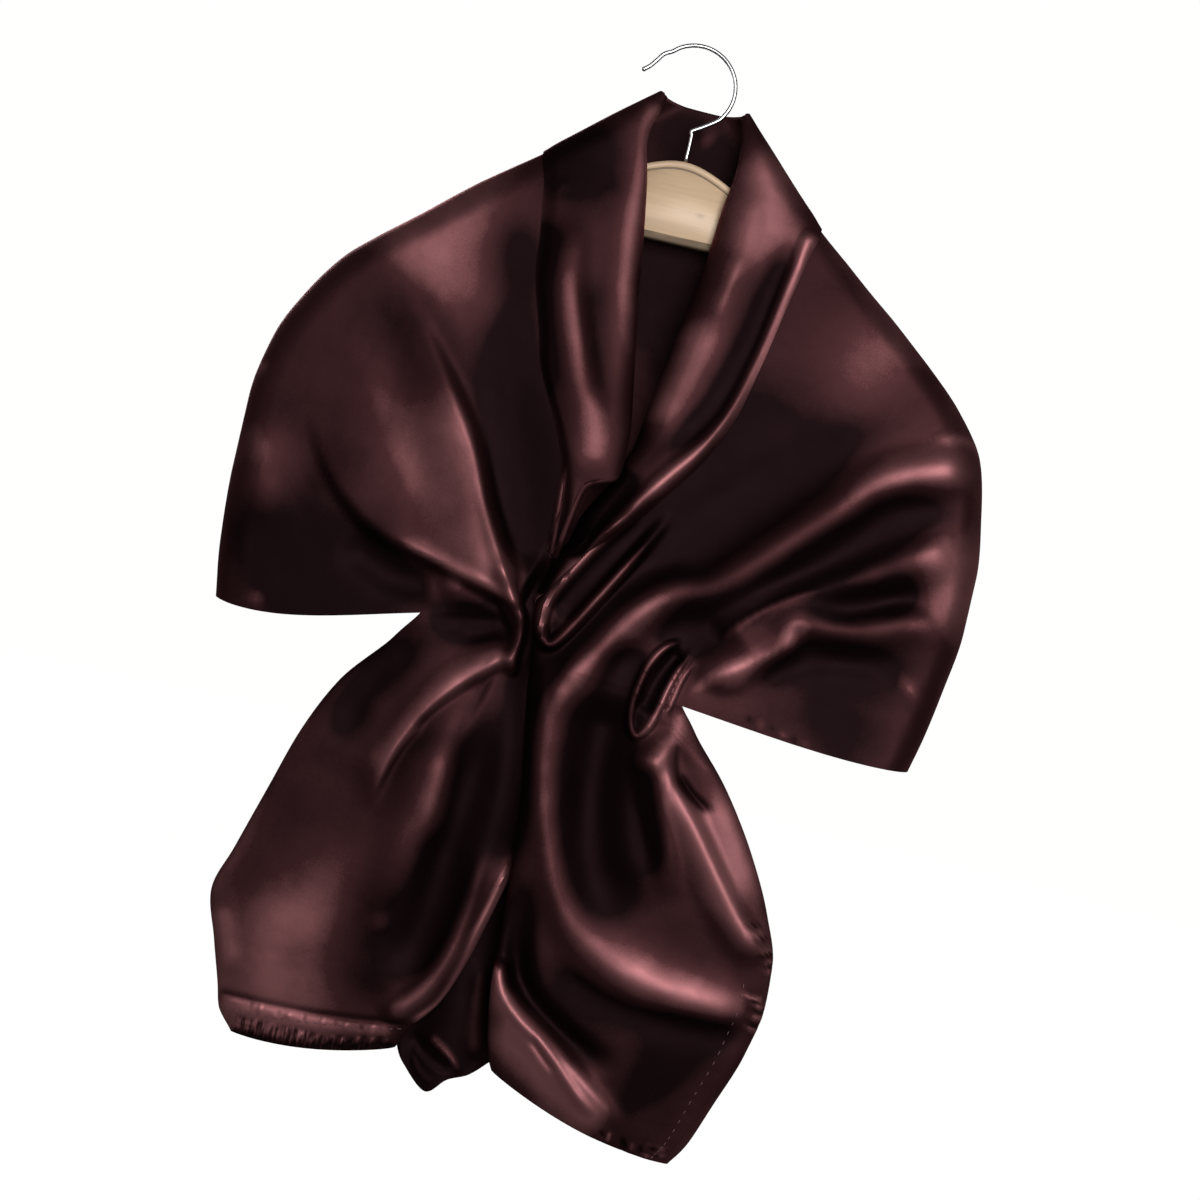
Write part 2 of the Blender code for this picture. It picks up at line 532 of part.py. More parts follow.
def add_hanger(wood):
    """The hanger's wooden bar: one outline, sawn from a board with its edges rounded."""
    top = []
    bottom = []
    for share in np.linspace(-1.0, 1.0, BOARD_STEPS):
        distance = share * (WOOD_HALF_LENGTH - ARM_END)
        top.append((distance, WOOD_TOP - arm_drop(distance, ARM_SLOPE, ARM_CREST)))
        past = max(0.0, abs(distance) - UNDERSIDE_FLAT)
        bottom.append((distance, WOOD_BOTTOM - arm_drop(past, UNDERSIDE_SLOPE, UNDERSIDE_CREST)))
    ends = []
    for sign, (high, low) in ((1, (top[-1], bottom[-1])), (-1, (bottom[0], top[0]))):
        ends.append([(high[0] + sign * ARM_END * math.sin(math.pi * k),
                      high[1] + (low[1] - high[1]) * (1 - math.cos(math.pi * k)) / 2)
                     for k in (0.2, 0.4, 0.6, 0.8)])
    outline = top + ends[0] + bottom[::-1] + ends[1]
    flat = bmesh.new()
    flat.faces.new([flat.verts.new(((WOOD_CENTRE_X + x) * MM, 0.0, z * MM)) for x, z in outline])
    mesh = bpy.data.meshes.new("hanger_bar")
    flat.to_mesh(mesh)
    flat.free()
    made = add_object("hanger_bar", mesh, wood)
    board = made.modifiers.new("board", "SOLIDIFY")
    board.thickness = WOOD_THICKNESS * MM
    board.offset = 0.0
    rounded = made.modifiers.new("rounded", "BEVEL")
    rounded.width = WOOD_EDGE * MM
    rounded.segments = 2
    rounded.limit_method = "ANGLE"
    rounded.angle_limit = math.radians(60)


def hook_line():
    """The wire's middle line, from its free tip over the top and down to the wood."""
    centre_z = WIRE_RADIUS - HOOK_RADIUS
    points = list(HOOK_TIP)
    for turn in np.radians(np.linspace(HOOK_STARTS_AT, HOOK_ENDS_AT, HOOK_STEPS)):
        points.append((HOOK_CENTRE_X + HOOK_RADIUS * math.cos(turn), centre_z + HOOK_RADIUS * math.sin(turn)))
    return points + list(HOOK_BEND) + [(WOOD_CENTRE_X, STEM_TOP), (WOOD_CENTRE_X, WOOD_TOP + SEAM)]


def add_hook(steel):
    line = bpy.data.curves.new("hook", "CURVE")
    line.dimensions = "3D"
    line.bevel_depth = WIRE_RADIUS * MM
    line.bevel_resolution = 2
    line.use_fill_caps = True
    points = hook_line()
    spline = line.splines.new("POLY")
    spline.points.add(len(points) - 1)
    for point, (x, z) in zip(spline.points, points):
        point.co = (x * MM, 0.0, z * MM, 1.0)
    add_object("hook", line, steel)


def main():
    for old in list(bpy.data.objects):
        bpy.data.objects.remove(old, do_unlink=True)
    home = bpy.data.collections.new("evening_shawl_on_hanger")
    bpy.context.scene.collection.children.link(home)
    satin = material("satin", SATIN, 0.38, 0.35)
    add_back(satin)
    add_fronts(satin)
    add_ends(satin)
    add_collars(satin)
    add_tail(satin)
    add_hanger(material("wood", WOOD, 0.45, 0.0))
    add_hook(material("steel", STEEL, 0.2, 1.0))


main()
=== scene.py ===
"""The looks of an evening shawl of satin on a wooden hanger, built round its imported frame.

Sizes and places are in millimetres, and MM turns them into metres. x runs to the right,
z up, and the front of the shawl faces -y. The origin is the top of the hook's inside.
"""
import math

import bmesh
import bpy
import numpy as np
from mathutils import Matrix, Vector


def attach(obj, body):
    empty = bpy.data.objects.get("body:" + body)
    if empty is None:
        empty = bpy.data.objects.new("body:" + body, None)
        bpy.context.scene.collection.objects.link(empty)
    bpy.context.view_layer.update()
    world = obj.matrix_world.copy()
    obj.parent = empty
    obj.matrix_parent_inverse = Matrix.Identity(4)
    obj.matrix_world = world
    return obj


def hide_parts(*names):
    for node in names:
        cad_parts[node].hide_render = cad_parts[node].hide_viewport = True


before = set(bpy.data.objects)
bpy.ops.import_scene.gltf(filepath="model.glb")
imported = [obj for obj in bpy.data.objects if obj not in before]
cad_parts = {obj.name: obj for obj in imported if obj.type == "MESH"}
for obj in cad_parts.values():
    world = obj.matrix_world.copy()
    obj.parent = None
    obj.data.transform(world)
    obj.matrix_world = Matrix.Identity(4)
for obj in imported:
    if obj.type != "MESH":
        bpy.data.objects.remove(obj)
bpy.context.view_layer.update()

bl_info = {
    "name": "Evening shawl",
    "version": (1, 0, 0),
    "blender": (4, 5, 0),
    "location": "3D View > Sidebar > Shawl",
    "description": "Builds a satin evening shawl on its wooden hanger",
    "category": "Object",
}

MM = 0.001

# The cloth's ribs, one row each: from the inner edge at the neck to the outer edge at the
# shoulder or the side. bow lifts the middle of a rib, sag lifts it near the sleeve's
# corner, and collar is the width of the collar on it.
END_COLUMNS = ("inner_x", "inner_z", "outer_x", "outer_z", "inner_y", "mid_y", "outer_y", "bow")
FRONT_COLUMNS = END_COLUMNS + ("sag", "collar")
LEFT_RIBS = (
    (-20.5, -38.0, -22.5, -37.0, -1.0, -1.2, 0.0, 0.0, 0.0, 2.5),
    (-28.0, -68.0, -50.0, -59.5, -9.0, -11.0, 0.0, 0.0, 0.0, 23.6),
    (-22.0, -100.0, -91.0, -94.5, -12.0, -14.0, 0.0, 0.0, 0.0, 69.2),
    (-16.0, -140.0, -112.0, -110.5, -14.0, -18.0, 0.0, 0.0, 0.0, 72.5),
    (-10.0, -190.0, -130.0, -124.5, -17.0, -22.0, 0.0, 0.0, 0.0, 80.0),
    (-2.0, -235.0, -146.0, -138.5, -21.0, -26.0, 0.0, 0.0, 0.0, 88.0),
    (4.0, -275.0, -162.0, -153.0, -27.0, -30.0, 0.0, 0.0, 0.0, 84.0),
    (4.0, -299.0, -176.0, -165.0, -31.0, -32.0, 0.0, 0.0, 0.0, 66.0),
    (-12.0, -313.0, -190.0, -177.0, -34.0, -33.0, 0.0, 0.0, 0.0, 24.0),
    (-16.0, -335.0, -207.0, -193.0, -35.0, -33.0, 0.0, 0.0, 0.0, 11.0),
    (-18.5, -352.0, -228.0, -224.0, -35.0, -33.0, 0.0, 0.0, 0.0, 9.5),
    (-20.5, -362.0, -243.0, -258.0, -35.0, -33.0, 0.0, 0.0, 0.0, 8.5),
    (-21.0, -371.0, -250.0, -302.0, -32.0, -33.0, 0.0, 0.0, 0.0, 8.0),
    (-18.0, -378.5, -250.0, -350.0, -26.0, -33.0, 0.0, 0.0, 0.0, 7.5),
    (-14.0, -388.0, -247.0, -402.0, -22.0, -32.0, 0.0, 0.0, -2.0, 7.5),
    (-11.0, -400.0, -241.0, -439.0, -20.0, -33.0, -3.0, 0.0, -10.0, 7.0),
)
RIGHT_RIBS = (
    (37.0, -39.5, 38.0, -38.5, -1.0, -1.2, 0.0, 0.0, 0.0, 1.5),
    (42.0, -70.0, 68.0, -69.5, -9.0, -11.0, 0.0, 0.0, 0.0, 26.0),
    (40.5, -105.0, 104.0, -103.5, -12.0, -14.0, 0.0, 0.0, 0.0, 63.5),
    (37.5, -150.0, 128.0, -122.5, -12.0, -18.0, 0.0, 0.0, 0.0, 64.5),
    (31.0, -200.0, 148.0, -138.5, -12.0, -22.0, 0.0, 0.0, 0.0, 69.0),
    (24.0, -245.0, 167.0, -153.0, -12.0, -25.0, 0.0, 0.0, 0.0, 72.5),
    (18.0, -280.0, 184.0, -167.0, -13.0, -27.0, 0.0, 0.0, 0.0, 72.0),
    (6.0, -305.0, 203.0, -183.0, -15.0, -29.0, 0.0, -5.0, 0.0, 68.0),
    (-8.0, -332.0, 224.0, -203.0, -17.0, -31.0, 0.0, -12.0, 0.0, 50.0),
    (-16.0, -358.0, 246.0, -234.0, -20.0, -33.0, 0.0, -22.0, 0.0, 16.0),
    (-22.0, -378.0, 255.0, -270.0, -24.0, -33.0, 0.0, -18.0, 0.0, 8.0),
    (-26.0, -389.0, 261.0, -312.0, -24.0, -33.0, 0.0, -10.0, 0.0, 5.0),
    (-28.0, -398.0, 261.0, -350.0, -24.0, -33.0, 0.0, -5.0, 0.0, 2.0),
    (-28.0, -408.0, 256.0, -392.0, -24.0, -33.0, 0.0, 0.0, 0.0, 0.0),
    (-27.0, -419.0, 250.0, -428.0, -24.0, -34.0, 0.0, 0.0, -1.0, 0.0),
    (-24.0, -431.0, 244.5, -450.0, -24.0, -36.0, -3.0, 0.0, -4.5, 0.0),
)
LEFT_END_RIBS = (
    (-11.0, -400.0, -101.0, -415.9, -20.0, -33.0, -29.0, 0.6),
    (-9.0, -416.0, -116.0, -440.0, -17.0, -32.0, -27.0, 1.0),
    (-7.0, -442.0, -144.0, -475.0, -15.0, -32.0, -25.0, 0.0),
    (-5.0, -475.0, -162.0, -514.0, -14.0, -32.0, -24.0, 0.0),
    (0.0, -515.0, -175.0, -557.0, -14.0, -31.0, -23.0, 0.0),
    (1.0, -556.0, -188.0, -601.0, -14.0, -30.0, -22.0, 0.0),
    (-8.0, -600.0, -197.0, -632.0, -16.0, -29.0, -21.0, 0.0),
    (-18.0, -640.0, -188.0, -664.0, -16.0, -28.0, -20.0, 0.0),
    (-30.0, -672.0, -179.0, -693.0, -16.0, -26.0, -19.0, 0.0),
    (-46.0, -694.0, -175.0, -708.0, -17.0, -24.0, -18.0, -3.0),
    (-53.0, -709.0, -163.0, -723.0, -17.0, -22.0, -18.0, -6.0),
)
RIGHT_END_RIBS = (
    (-24.0, -431.0, 84.0, -438.2, -24.0, -36.0, -31.0, 0.0),
    (-22.0, -442.0, 97.0, -457.0, -24.0, -36.0, -30.0, 0.0),
    (-18.5, -461.0, 124.0, -487.0, -24.0, -35.0, -28.0, 0.0),
    (-13.0, -485.0, 151.0, -526.0, -28.0, -34.0, -27.0, 0.0),
    (-8.0, -515.0, 171.0, -564.0, -26.0, -33.0, -26.0, 0.0),
    (-4.0, -555.0, 182.5, -597.0, -25.0, -32.0, -25.0, 0.0),
    (-1.0, -600.0, 184.0, -626.0, -24.0, -31.0, -24.0, 0.0),
    (1.0, -645.0, 178.0, -660.0, -23.0, -30.0, -23.0, 0.0),
    (6.0, -682.0, 165.0, -698.0, -22.0, -28.0, -22.0, 0.0),
    (12.0, -704.0, 153.0, -730.0, -21.0, -26.0, -21.0, -4.0),
    (14.5, -709.0, 144.0, -744.0, -20.0, -24.0, -20.0, -8.0),
)
HEM_RIB = 15.0
LAST_END_RIB = 10.0
LEFT_COLLAR_ENDS = 11.0
RIGHT_COLLAR_ENDS = 11.8

# rib, depth behind the hanger's middle, how far the middle of the row is lifted
BACK_ROWS = (
    (0.0, 18.0, -1.5),
    (1.0, 18.0, 0.0),
    (2.0, 16.0, 0.0),
    (5.0, 18.0, 0.0),
    (9.0, 21.0, 0.0),
    (11.0, 24.0, 3.0),
    (13.0, 26.0, 16.0),
    (15.0, 27.0, 34.0),
)

# A fold runs along a line of x, z places. height is how far it stands out, and light is how much
# painted light (above 0) or painted shade (below 0) the satin's colour carries there: painted
# highlights on crests, painted shade in hollows, and rows of height 0 that are painted light or shade
# alone. left and right are its widths on the two sides of its way, and rise and fall are the parts of
# the line where it fades in and out.
LEFT_FOLDS = {
    # height, light, left, right, rise, fall, line
    "panel_ridge": (12.0, 0.46, 28.0, 7.0, 0.2, 0.35,
                    ((-42, -397), (-55, -374), (-76, -338), (-95, -300), (-126, -256), (-165, -208))),
    "ridge_tip": (8.0, 0.10, 6.0, 3.0, 0.15, 0.4,
                  ((-30, -446), (-33, -434), (-32, -420), (-34, -407), (-42, -395), (-56, -372),
                   (-77, -336))),
    "ridge_edge": (2.5, 0.42, 4.0, 2.2, 0.10, 0.4,
                   ((-30, -449), (-33, -434), (-32, -420), (-34, -407), (-41, -396), (-55, -374),
                    (-76, -338), (-95, -300))),
    "waist_tuck": (-13.0, -0.60, 9.0, 9.0, 0.2, 0.2, ((-12, -350), (-16, -385), (-14, -412), (-10, -450))),
    "tip_shade": (-4.0, -0.90, 9.0, 11.0, 0.2, 0.3, ((-40, -408), (-52, -416), (-70, -420), (-100, -418))),
    "collar_line": (1.4, 0.40, 1.5, 1.5, 0.1, 0.1, ((-28, -300), (-26, -340), (-22, -384))),
    # painted shade beside the notch, down the inner edge
    "notch_painted_shade": (0.0, -0.95, 7.0, 7.0, 0.1, 0.2,
                   ((-24, -360), (-25, -396), (-22, -440), (-15, -500), (-9, -570))),
    "collar_shadow": (0.0, -0.45, 13.0, 15.0, 0.3, 0.2,
                      ((-94, -125), (-92, -170), (-80, -225), (-60, -280), (-44, -330))),
    "panel_edge": (10.0, 0.10, 3.5, 34.0, 0.05, 0.3,
                   ((-34, -399), (-64, -391), (-103, -382), (-143, -371), (-178, -342), (-205, -300))),
    "shoulder_hollow": (-2.5, -0.32, 20.0, 20.0, 0.4, 0.4, ((-186, -196), (-145, -250), (-105, -300))),
    "shoulder_streak": (1.0, 0.22, 15.0, 15.0, 0.4, 0.4,
                        ((-196, -232), (-160, -282), (-128, -328), (-100, -366))),
    "sleeve_swell": (2.5, 0.15, 16.0, 16.0, 0.4, 0.4, ((-238, -310), (-224, -345), (-214, -395))),
    "under_panel": (-5.0, -0.35, 12.0, 12.0, 0.2, 0.2, ((-80, -396), (-120, -399), (-165, -380))),
    "tip_ridge": (7.0, 0.50, 5.0, 12.0, 0.08, 0.3,
                  ((-33, -431), (-55, -448), (-82, -478), (-100, -515), (-107, -560))),
    "end_ridge": (6.0, 0.25, 17.0, 19.0, 0.3, 0.3, ((-50, -455), (-66, -505), (-73, -560), (-82, -640))),
    "end_top_shade": (0.0, -0.30, 24.0, 24.0, 0.4, 0.4, ((-50, -480), (-86, -505), (-118, -560))),
    "end_hollow": (-6.0, -0.70, 15.0, 15.0, 0.25, 0.25,
                   ((-42, -460), (-44, -540), (-52, -620), (-66, -672))),
    "inner_ridge": (5.0, 0.12, 7.0, 7.0, 0.2, 0.1, ((-24, -560), (-27, -610), (-40, -660), (-66, -692))),
    "side_hollow": (-4.0, -0.40, 15.0, 15.0, 0.25, 0.3, ((-98, -425), (-125, -470), (-138, -520))),
    "tucked_edge": (-9.0, -0.35, 16.0, 16.0, 0.2, 0.2,
                    ((-20, -425), (-10, -460), (-2, -500), (2, -545), (-4, -585))),
    "shoulder_light": (1.5, 0.45, 48.0, 44.0, 0.3, 0.3,
                       ((-200, -185), (-160, -185), (-120, -150), (-100, -118))),
    "beside_ridge": (-3.0, -0.50, 20.0, 22.0, 0.4, 0.1,
                     ((-98, -200), (-76, -262), (-55, -325), (-38, -378))),
    # painted shade across the lower sleeve
    "sleeve_painted_shade": (0.0, -0.35, 30.0, 34.0, 0.15, 0.2,
                    ((-236, -330), (-200, -395), (-150, -402), (-100, -402))),
    "sleeve_streak": (0.6, 0.12, 8.0, 7.0, 0.3, 0.3, ((-237, -308), (-227, -345), (-214, -388))),
    # painted highlight at the sleeve's corner
    "sleeve_corner_painted_highlight": (0.6, 0.45, 4.0, 4.0, 0.4, 0.4, ((-214, -440), (-208, -428))),
    "sleeve_nick": (1.6, 0.25, 2.5, 3.0, 0.3, 0.4, ((-252, -292), (-245, -284), (-236, -277))),
    "notch_patch": (1.6, 0.35, 8.0, 6.0, 0.3, 0.3, ((-102, -408), (-90, -398), (-72, -394))),
    "panel_lip": (2.2, 0.40, 2.0, 4.5, 0.1, 0.3, ((-36, -398), (-66, -390), (-105, -380), (-140, -370))),
    "end_line": (1.6, 0.25, 3.0, 4.0, 0.2, 0.3, ((-80, -488), (-92, -505), (-101, -525), (-106, -553))),
    "end_glow": (0.0, 0.22, 11.0, 11.0, 0.3, 0.3, ((-112, -465), (-112, -500), (-108, -535))),
    "end_streak": (1.5, 0.35, 11.0, 11.0, 0.3, 0.3, ((-66, -495), (-62, -535), (-58, -575))),
    "end_shade": (-1.5, -0.50, 11.0, 11.0, 0.3, 0.3, ((-50, -540), (-47, -600), (-54, -662))),
    "end_middle_shade": (-1.0, -0.30, 20.0, 20.0, 0.3, 0.3, ((-90, -575), (-84, -640), (-84, -690))),
    # painted highlight on the end
    "end_painted_highlight": (0.6, 0.25, 7.0, 7.0, 0.4, 0.4, ((-82, -618), (-79, -638))),
    "end_broad_light": (1.5, 0.52, 36.0, 36.0, 0.4, 0.2,
                        ((-130, -560), (-134, -630), (-138, -690), (-138, -770))),
    "end_side_streak": (1.2, 0.30, 5.0, 5.0, 0.2, 0.3, ((-188, -640), (-180, -662), (-171, -684))),
    "wide_inner_ridge": (3.0, 0.30, 8.0, 8.0, 0.3, 0.2,
                         ((-20, -598), (-30, -640), (-45, -670), (-64, -688))),
    "narrow_inner_ridge": (3.4, 0.75, 2.0, 2.6, 0.2, 0.1,
                           ((-4, -552), (-8, -590), (-15, -620), (-20, -645), (-30, -673), (-47, -692))),
    "hem_crease": (-0.9, -0.25, 2.4, 2.4, 0.05, 0.05,
                   ((-179, -698), (-130, -698), (-90, -696), (-46, -690))),
    "hem_band": (1.0, 0.30, 5.0, 5.0, 0.05, 0.1, ((-176, -705), (-130, -705), (-90, -703), (-52, -697))),
    # painted shade along the hem's lower edge
    "hem_edge_painted_shade": (0.0, -0.95, 3.6, 3.6, 0.05, 0.05, ((-165, -724), (-120, -724), (-85, -718), (-52, -710))),
}
RIGHT_FOLDS = {
    "hairpin": (8.0, 0.78, 3.8, 3.8, 0.06, 0.22,
                ((28, -317), (8, -342), (-9, -370), (-18, -388), (-21, -400), (-19, -413), (-13, -420),
                 (-5, -413), (12, -384), (28, -355),
                 (42, -329), (50, -314))),
    "sweep": (9.0, 0.62, 15.0, 14.0, 0.06, 0.35,
              ((244, -240), (184, -262), (150, -297), (92, -356), (62, -368), (36, -390), (6, -436),
               (-2, -474))),
    "sweep_fall": (4.5, 0.24, 20.0, 12.0, 0.25, 0.1,
                   ((40, -384), (8, -434), (-2, -474), (14, -540), (42, -597), (88, -626), (140, -634),
                    (176, -630))),
    "sweep_hollow": (-5.0, -0.80, 20.0, 26.0, 0.35, 0.45,
                     ((34, -372), (52, -344), (100, -290), (142, -250), (196, -226))),
    "upper_pleat": (7.0, 0.34, 12.0, 17.0, 0.1, 0.2,
                    ((99, -392), (122, -366), (165, -342), (214, -310), (244, -296))),
    "lower_pleat": (7.0, 0.34, 11.0, 14.0, 0.2, 0.2,
                    ((90, -424), (104, -410), (136, -387), (148, -368), (186, -366), (222, -352),
                     (247, -372))),
    "pleat_pocket": (-5.0, -0.80, 10.0, 12.0, 0.4, 0.4,
                     ((126, -380), (170, -352), (206, -338), (236, -332))),
    # painted shade at the pocket's end
    "pocket_end_painted_shade": (0.0, -0.45, 14.0, 12.0, 0.5, 0.5, ((190, -338), (208, -331), (226, -328))),
    "waist_loop": (4.2, 0.70, 2.5, 2.5, 0.08, 0.12,
                   ((76, -397), (64, -405), (56, -418), (52, -436), (51, -452), (54, -463), (59, -466),
                    (65, -458),
                    (69, -444), (72, -430), (77, -414), (84, -400))),
    "end_hollow": (-8.0, -0.75, 18.0, 18.0, 0.15, 0.3, ((36, -440), (36, -500), (52, -560), (90, -592))),
    "middle_pleat": (6.0, 0.18, 9.0, 9.0, 0.2, 0.3, ((70, -468), (72, -494), (92, -532), (108, -572))),
    "side_pleat": (7.0, 0.34, 8.0, 13.0, 0.2, 0.15,
                   ((82, -456), (80, -482), (110, -520), (150, -570), (178, -595))),
    "foot_fold": (6.0, 0.55, 6.0, 16.0, 0.1, 0.2, ((2, -632), (14, -656), (56, -688), (112, -730))),
    "foot_hollow": (-7.0, -0.50, 8.0, 8.0, 0.3, 0.3, ((8, -590), (20, -645), (60, -676), (100, -690))),
    "shoulder_light": (1.0, 0.30, 32.0, 32.0, 0.3, 0.3, ((120, -140), (155, -175), (190, -200))),
    "sleeve_nick": (1.8, 0.25, 2.5, 3.0, 0.3, 0.3, ((206, -228), (228, -224), (249, -228))),
    "front_shade": (0.0, -0.25, 30.0, 30.0, 0.3, 0.3, ((105, -190), (85, -240), (70, -290))),
    "sweep_shade": (-3.0, -0.90, 17.0, 17.0, 0.2, 0.2,
                    ((252, -268), (200, -285), (165, -312), (120, -355), (80, -385), (60, -420))),
    "hairpin_inside": (-2.5, -0.80, 7.0, 7.0, 0.15, 0.3,
                       ((-12, -402), (-2, -384), (14, -358), (30, -332), (46, -308))),
    "under_hairpin": (-3.0, -0.75, 12.0, 12.0, 0.3, 0.3,
                      ((66, -334), (38, -364), (12, -402), (-10, -432), (-15, -470))),
    "centre_shade": (-2.0, -0.75, 9.0, 9.0, 0.2, 0.3,
                     ((-22, -400), (-20, -440), (-16, -480), (-10, -530), (-4, -590))),
    "sweep_crest": (0.8, 0.16, 9.0, 6.0, 0.1, 0.1,
                    ((60, -372), (40, -386), (20, -416), (2, -448), (-1, -490), (12, -535), (34, -585),
                     (70, -615),
                     (110, -628), (165, -631))),
    "sweep_band": (1.0, 0.35, 10.0, 8.0, 0.25, 0.1, ((70, -617), (110, -626), (150, -628), (176, -628))),
    "under_sweep": (-2.0, -0.42, 6.0, 14.0, 0.3, 0.1, ((30, -622), (70, -642), (120, -648), (180, -645))),
    "upper_pleat_start": (2.2, 0.40, 2.2, 3.5, 0.1, 0.3,
                          ((99, -393), (108, -380), (122, -366), (142, -351), (165, -338))),
    "sleeve_light": (1.5, 0.40, 16.0, 18.0, 0.3, 0.3, ((186, -300), (232, -296), (246, -330), (243, -366))),
    "lower_pleat_crest": (1.8, 0.42, 3.5, 5.0, 0.15, 0.5,
                          ((84, -437), (95, -421), (112, -409), (138, -390), (146, -370), (170, -367),
                           (206, -356))),
    "star_crease": (1.6, 0.22, 3.0, 3.0, 0.3, 0.4, ((140, -392), (150, -378), (156, -366))),
    "lower_pleat_shade": (-3.0, -0.65, 13.0, 9.0, 0.2, 0.45,
                          ((118, -420), (150, -396), (185, -386), (214, -388), (232, -398))),
    # painted highlight at the cuff
    "cuff_painted_highlight": (0.8, 0.35, 8.0, 8.0, 0.4, 0.4, ((224, -400), (234, -388))),
    "cuff_shade": (0.0, -0.25, 28.0, 28.0, 0.3, 0.3, ((150, -430), (190, -425), (235, -430))),
    "loop_hollow": (-4.0, -0.95, 5.0, 5.0, 0.15, 0.15, ((76, -403), (65, -424), (58, -452))),
    "loop_side_line": (2.0, 0.40, 1.8, 2.0, 0.3, 0.4, ((88, -404), (80, -422), (76, -440), (70, -462))),
    "waist_shade": (-3.0, -0.85, 13.0, 13.0, 0.2, 0.3, ((46, -400), (40, -440), (40, -500), (48, -560))),
    "middle_shade": (-3.0, -0.70, 9.0, 9.0, 0.2, 0.3, ((66, -480), (78, -520), (92, -560))),
    "side_crease": (-2.2, -0.40, 2.6, 2.6, 0.2, 0.3, ((90, -484), (104, -497), (120, -506))),
    "side_light": (1.0, 0.38, 19.0, 16.0, 0.3, 0.3, ((104, -485), (134, -525), (160, -568))),
    "side_pleat_crest": (1.0, 0.30, 4.5, 5.5, 0.1, 0.15,
                         ((84, -440), (85, -458), (80, -482), (92, -500), (112, -523), (148, -568),
                          (176, -593))),
    "foot_edge_line": (2.0, 0.45, 2.5, 4.0, 0.1, 0.2,
                       ((0, -634), (9, -654), (24, -668), (44, -681), (74, -710), (92, -724))),
    "foot_light": (1.0, 0.50, 15.0, 15.0, 0.2, 0.2, ((12, -668), (34, -695), (66, -716), (104, -734))),
    "foot_crease": (-1.8, -0.40, 2.4, 2.4, 0.2, 0.3, ((34, -678), (46, -690), (58, -700))),
    "foot_pocket": (-3.0, -0.50, 8.0, 8.0, 0.3, 0.2, ((8, -570), (12, -620), (22, -656))),
    "foot_plain_shade": (0.0, -0.35, 34.0, 34.0, 0.3, 0.3, ((90, -665), (120, -685), (140, -700))),
}
BACK_FOLDS = {
    "left_drop": (4.0, 0.22, 15.0, 20.0, 0.6, 0.02, ((-96, -170), (-88, -240), (-78, -320), (-86, -440))),
    "right_drop": (4.0, 0.22, 19.0, 14.0, 0.5, 0.02, ((112, -178), (98, -250), (92, -330), (104, -450))),
    "middle_drop": (3.0, 0.16, 17.0, 20.0, 0.6, 0.02, ((-6, -180), (4, -260), (-2, -350), (6, -440))),
    "left_sling": (3.0, 0.16, 10.0, 16.0, 0.4, 0.5, ((-206, -208), (-150, -262), (-70, -300), (0, -306))),
    "right_sling": (3.0, 0.16, 16.0, 9.0, 0.4, 0.5, ((222, -222), (160, -270), (96, -300), (26, -318))),
    "left_side_drop": (3.5, 0.18, 10.0, 16.0, 0.5, 0.02,
                       ((-172, -190), (-168, -270), (-184, -350), (-192, -440))),
    "right_side_drop": (4.0, 0.20, 15.0, 10.0, 0.6, 0.02,
                        ((176, -192), (180, -270), (190, -360), (206, -450))),
    "left_valley": (-3.0, -0.32, 9.0, 12.0, 0.6, 0.02,
                    ((-52, -190), (-44, -280), (-38, -360), (-44, -440))),
    "right_valley": (-3.0, -0.30, 12.0, 9.0, 0.5, 0.02, ((56, -200), (50, -280), (46, -360), (56, -440))),
    "left_outer_valley": (-3.0, -0.30, 10.0, 12.0, 0.6, 0.02,
                          ((-132, -200), (-122, -290), (-130, -370), (-140, -440))),
    "right_outer_valley": (-3.0, -0.32, 11.0, 10.0, 0.5, 0.02,
                           ((146, -210), (136, -300), (144, -380), (154, -450))),
    "left_short_crease": (1.6, 0.16, 4.0, 5.0, 0.4, 0.5, ((-112, -330), (-106, -380), (-112, -430))),
    "right_short_crease": (1.6, 0.16, 5.0, 4.0, 0.4, 0.4, ((32, -352), (28, -400), (32, -446))),
    # painted shade on the back's inside, seen through the neck, and a painted highlight on it
    "neck_inside_painted_shade": (0.0, -0.32, 38.0, 38.0, 0.05, 0.4, ((10, -30), (10, -130), (4, -300))),
    "neck_painted_highlight": (0.0, 0.30, 8.0, 8.0, 0.4, 0.4, ((6, -53), (24, -57))),
    "left_yoke": (1.6, 0.14, 7.0, 10.0, 0.4, 0.5, ((-158, -160), (-100, -196), (-36, -206))),
    "right_yoke": (1.6, 0.14, 10.0, 7.0, 0.4, 0.5, ((172, -168), (112, -200), (52, -214))),
}
LEFT_COLLAR_FOLDS = {
    "crown": (5.0, 0.10, 12.0, 14.0, 0.2, 0.3, ((-62, -130), (-54, -185), (-34, -235), (-10, -290))),
    "shoulder_shade": (0.0, -0.55, 26.0, 26.0, 0.1, 0.4, ((-40, -60), (-62, -95), (-64, -135))),
    "shoulder_mark": (0.4, 0.15, 4.0, 4.0, 0.4, 0.4, ((-77, -116), (-68, -120))),
    "edge_light": (1.0, 0.45, 4.5, 6.5, 0.1, 0.3,
                   ((-21, -41), (-25, -62), (-24, -90), (-22, -130), (-17, -175), (-9, -215), (-3, -255))),
    "streak": (1.0, 0.30, 10.0, 13.0, 0.4, 0.4,
               ((-68, -150), (-60, -178), (-48, -208), (-36, -240), (-26, -266))),
    "band_shade": (-1.5, -0.30, 8.0, 8.0, 0.25, 0.25, ((-42, -165), (-34, -200), (-24, -232), (-14, -262))),
    "foot_light": (1.0, 0.34, 10.0, 11.0, 0.5, 0.15, ((-32, -220), (-20, -256), (-12, -276), (-8, -302))),
    "outer_shade": (0.0, -0.70, 10.0, 10.0, 0.2, 0.3, ((-82, -140), (-76, -175), (-62, -225), (-44, -268))),
}
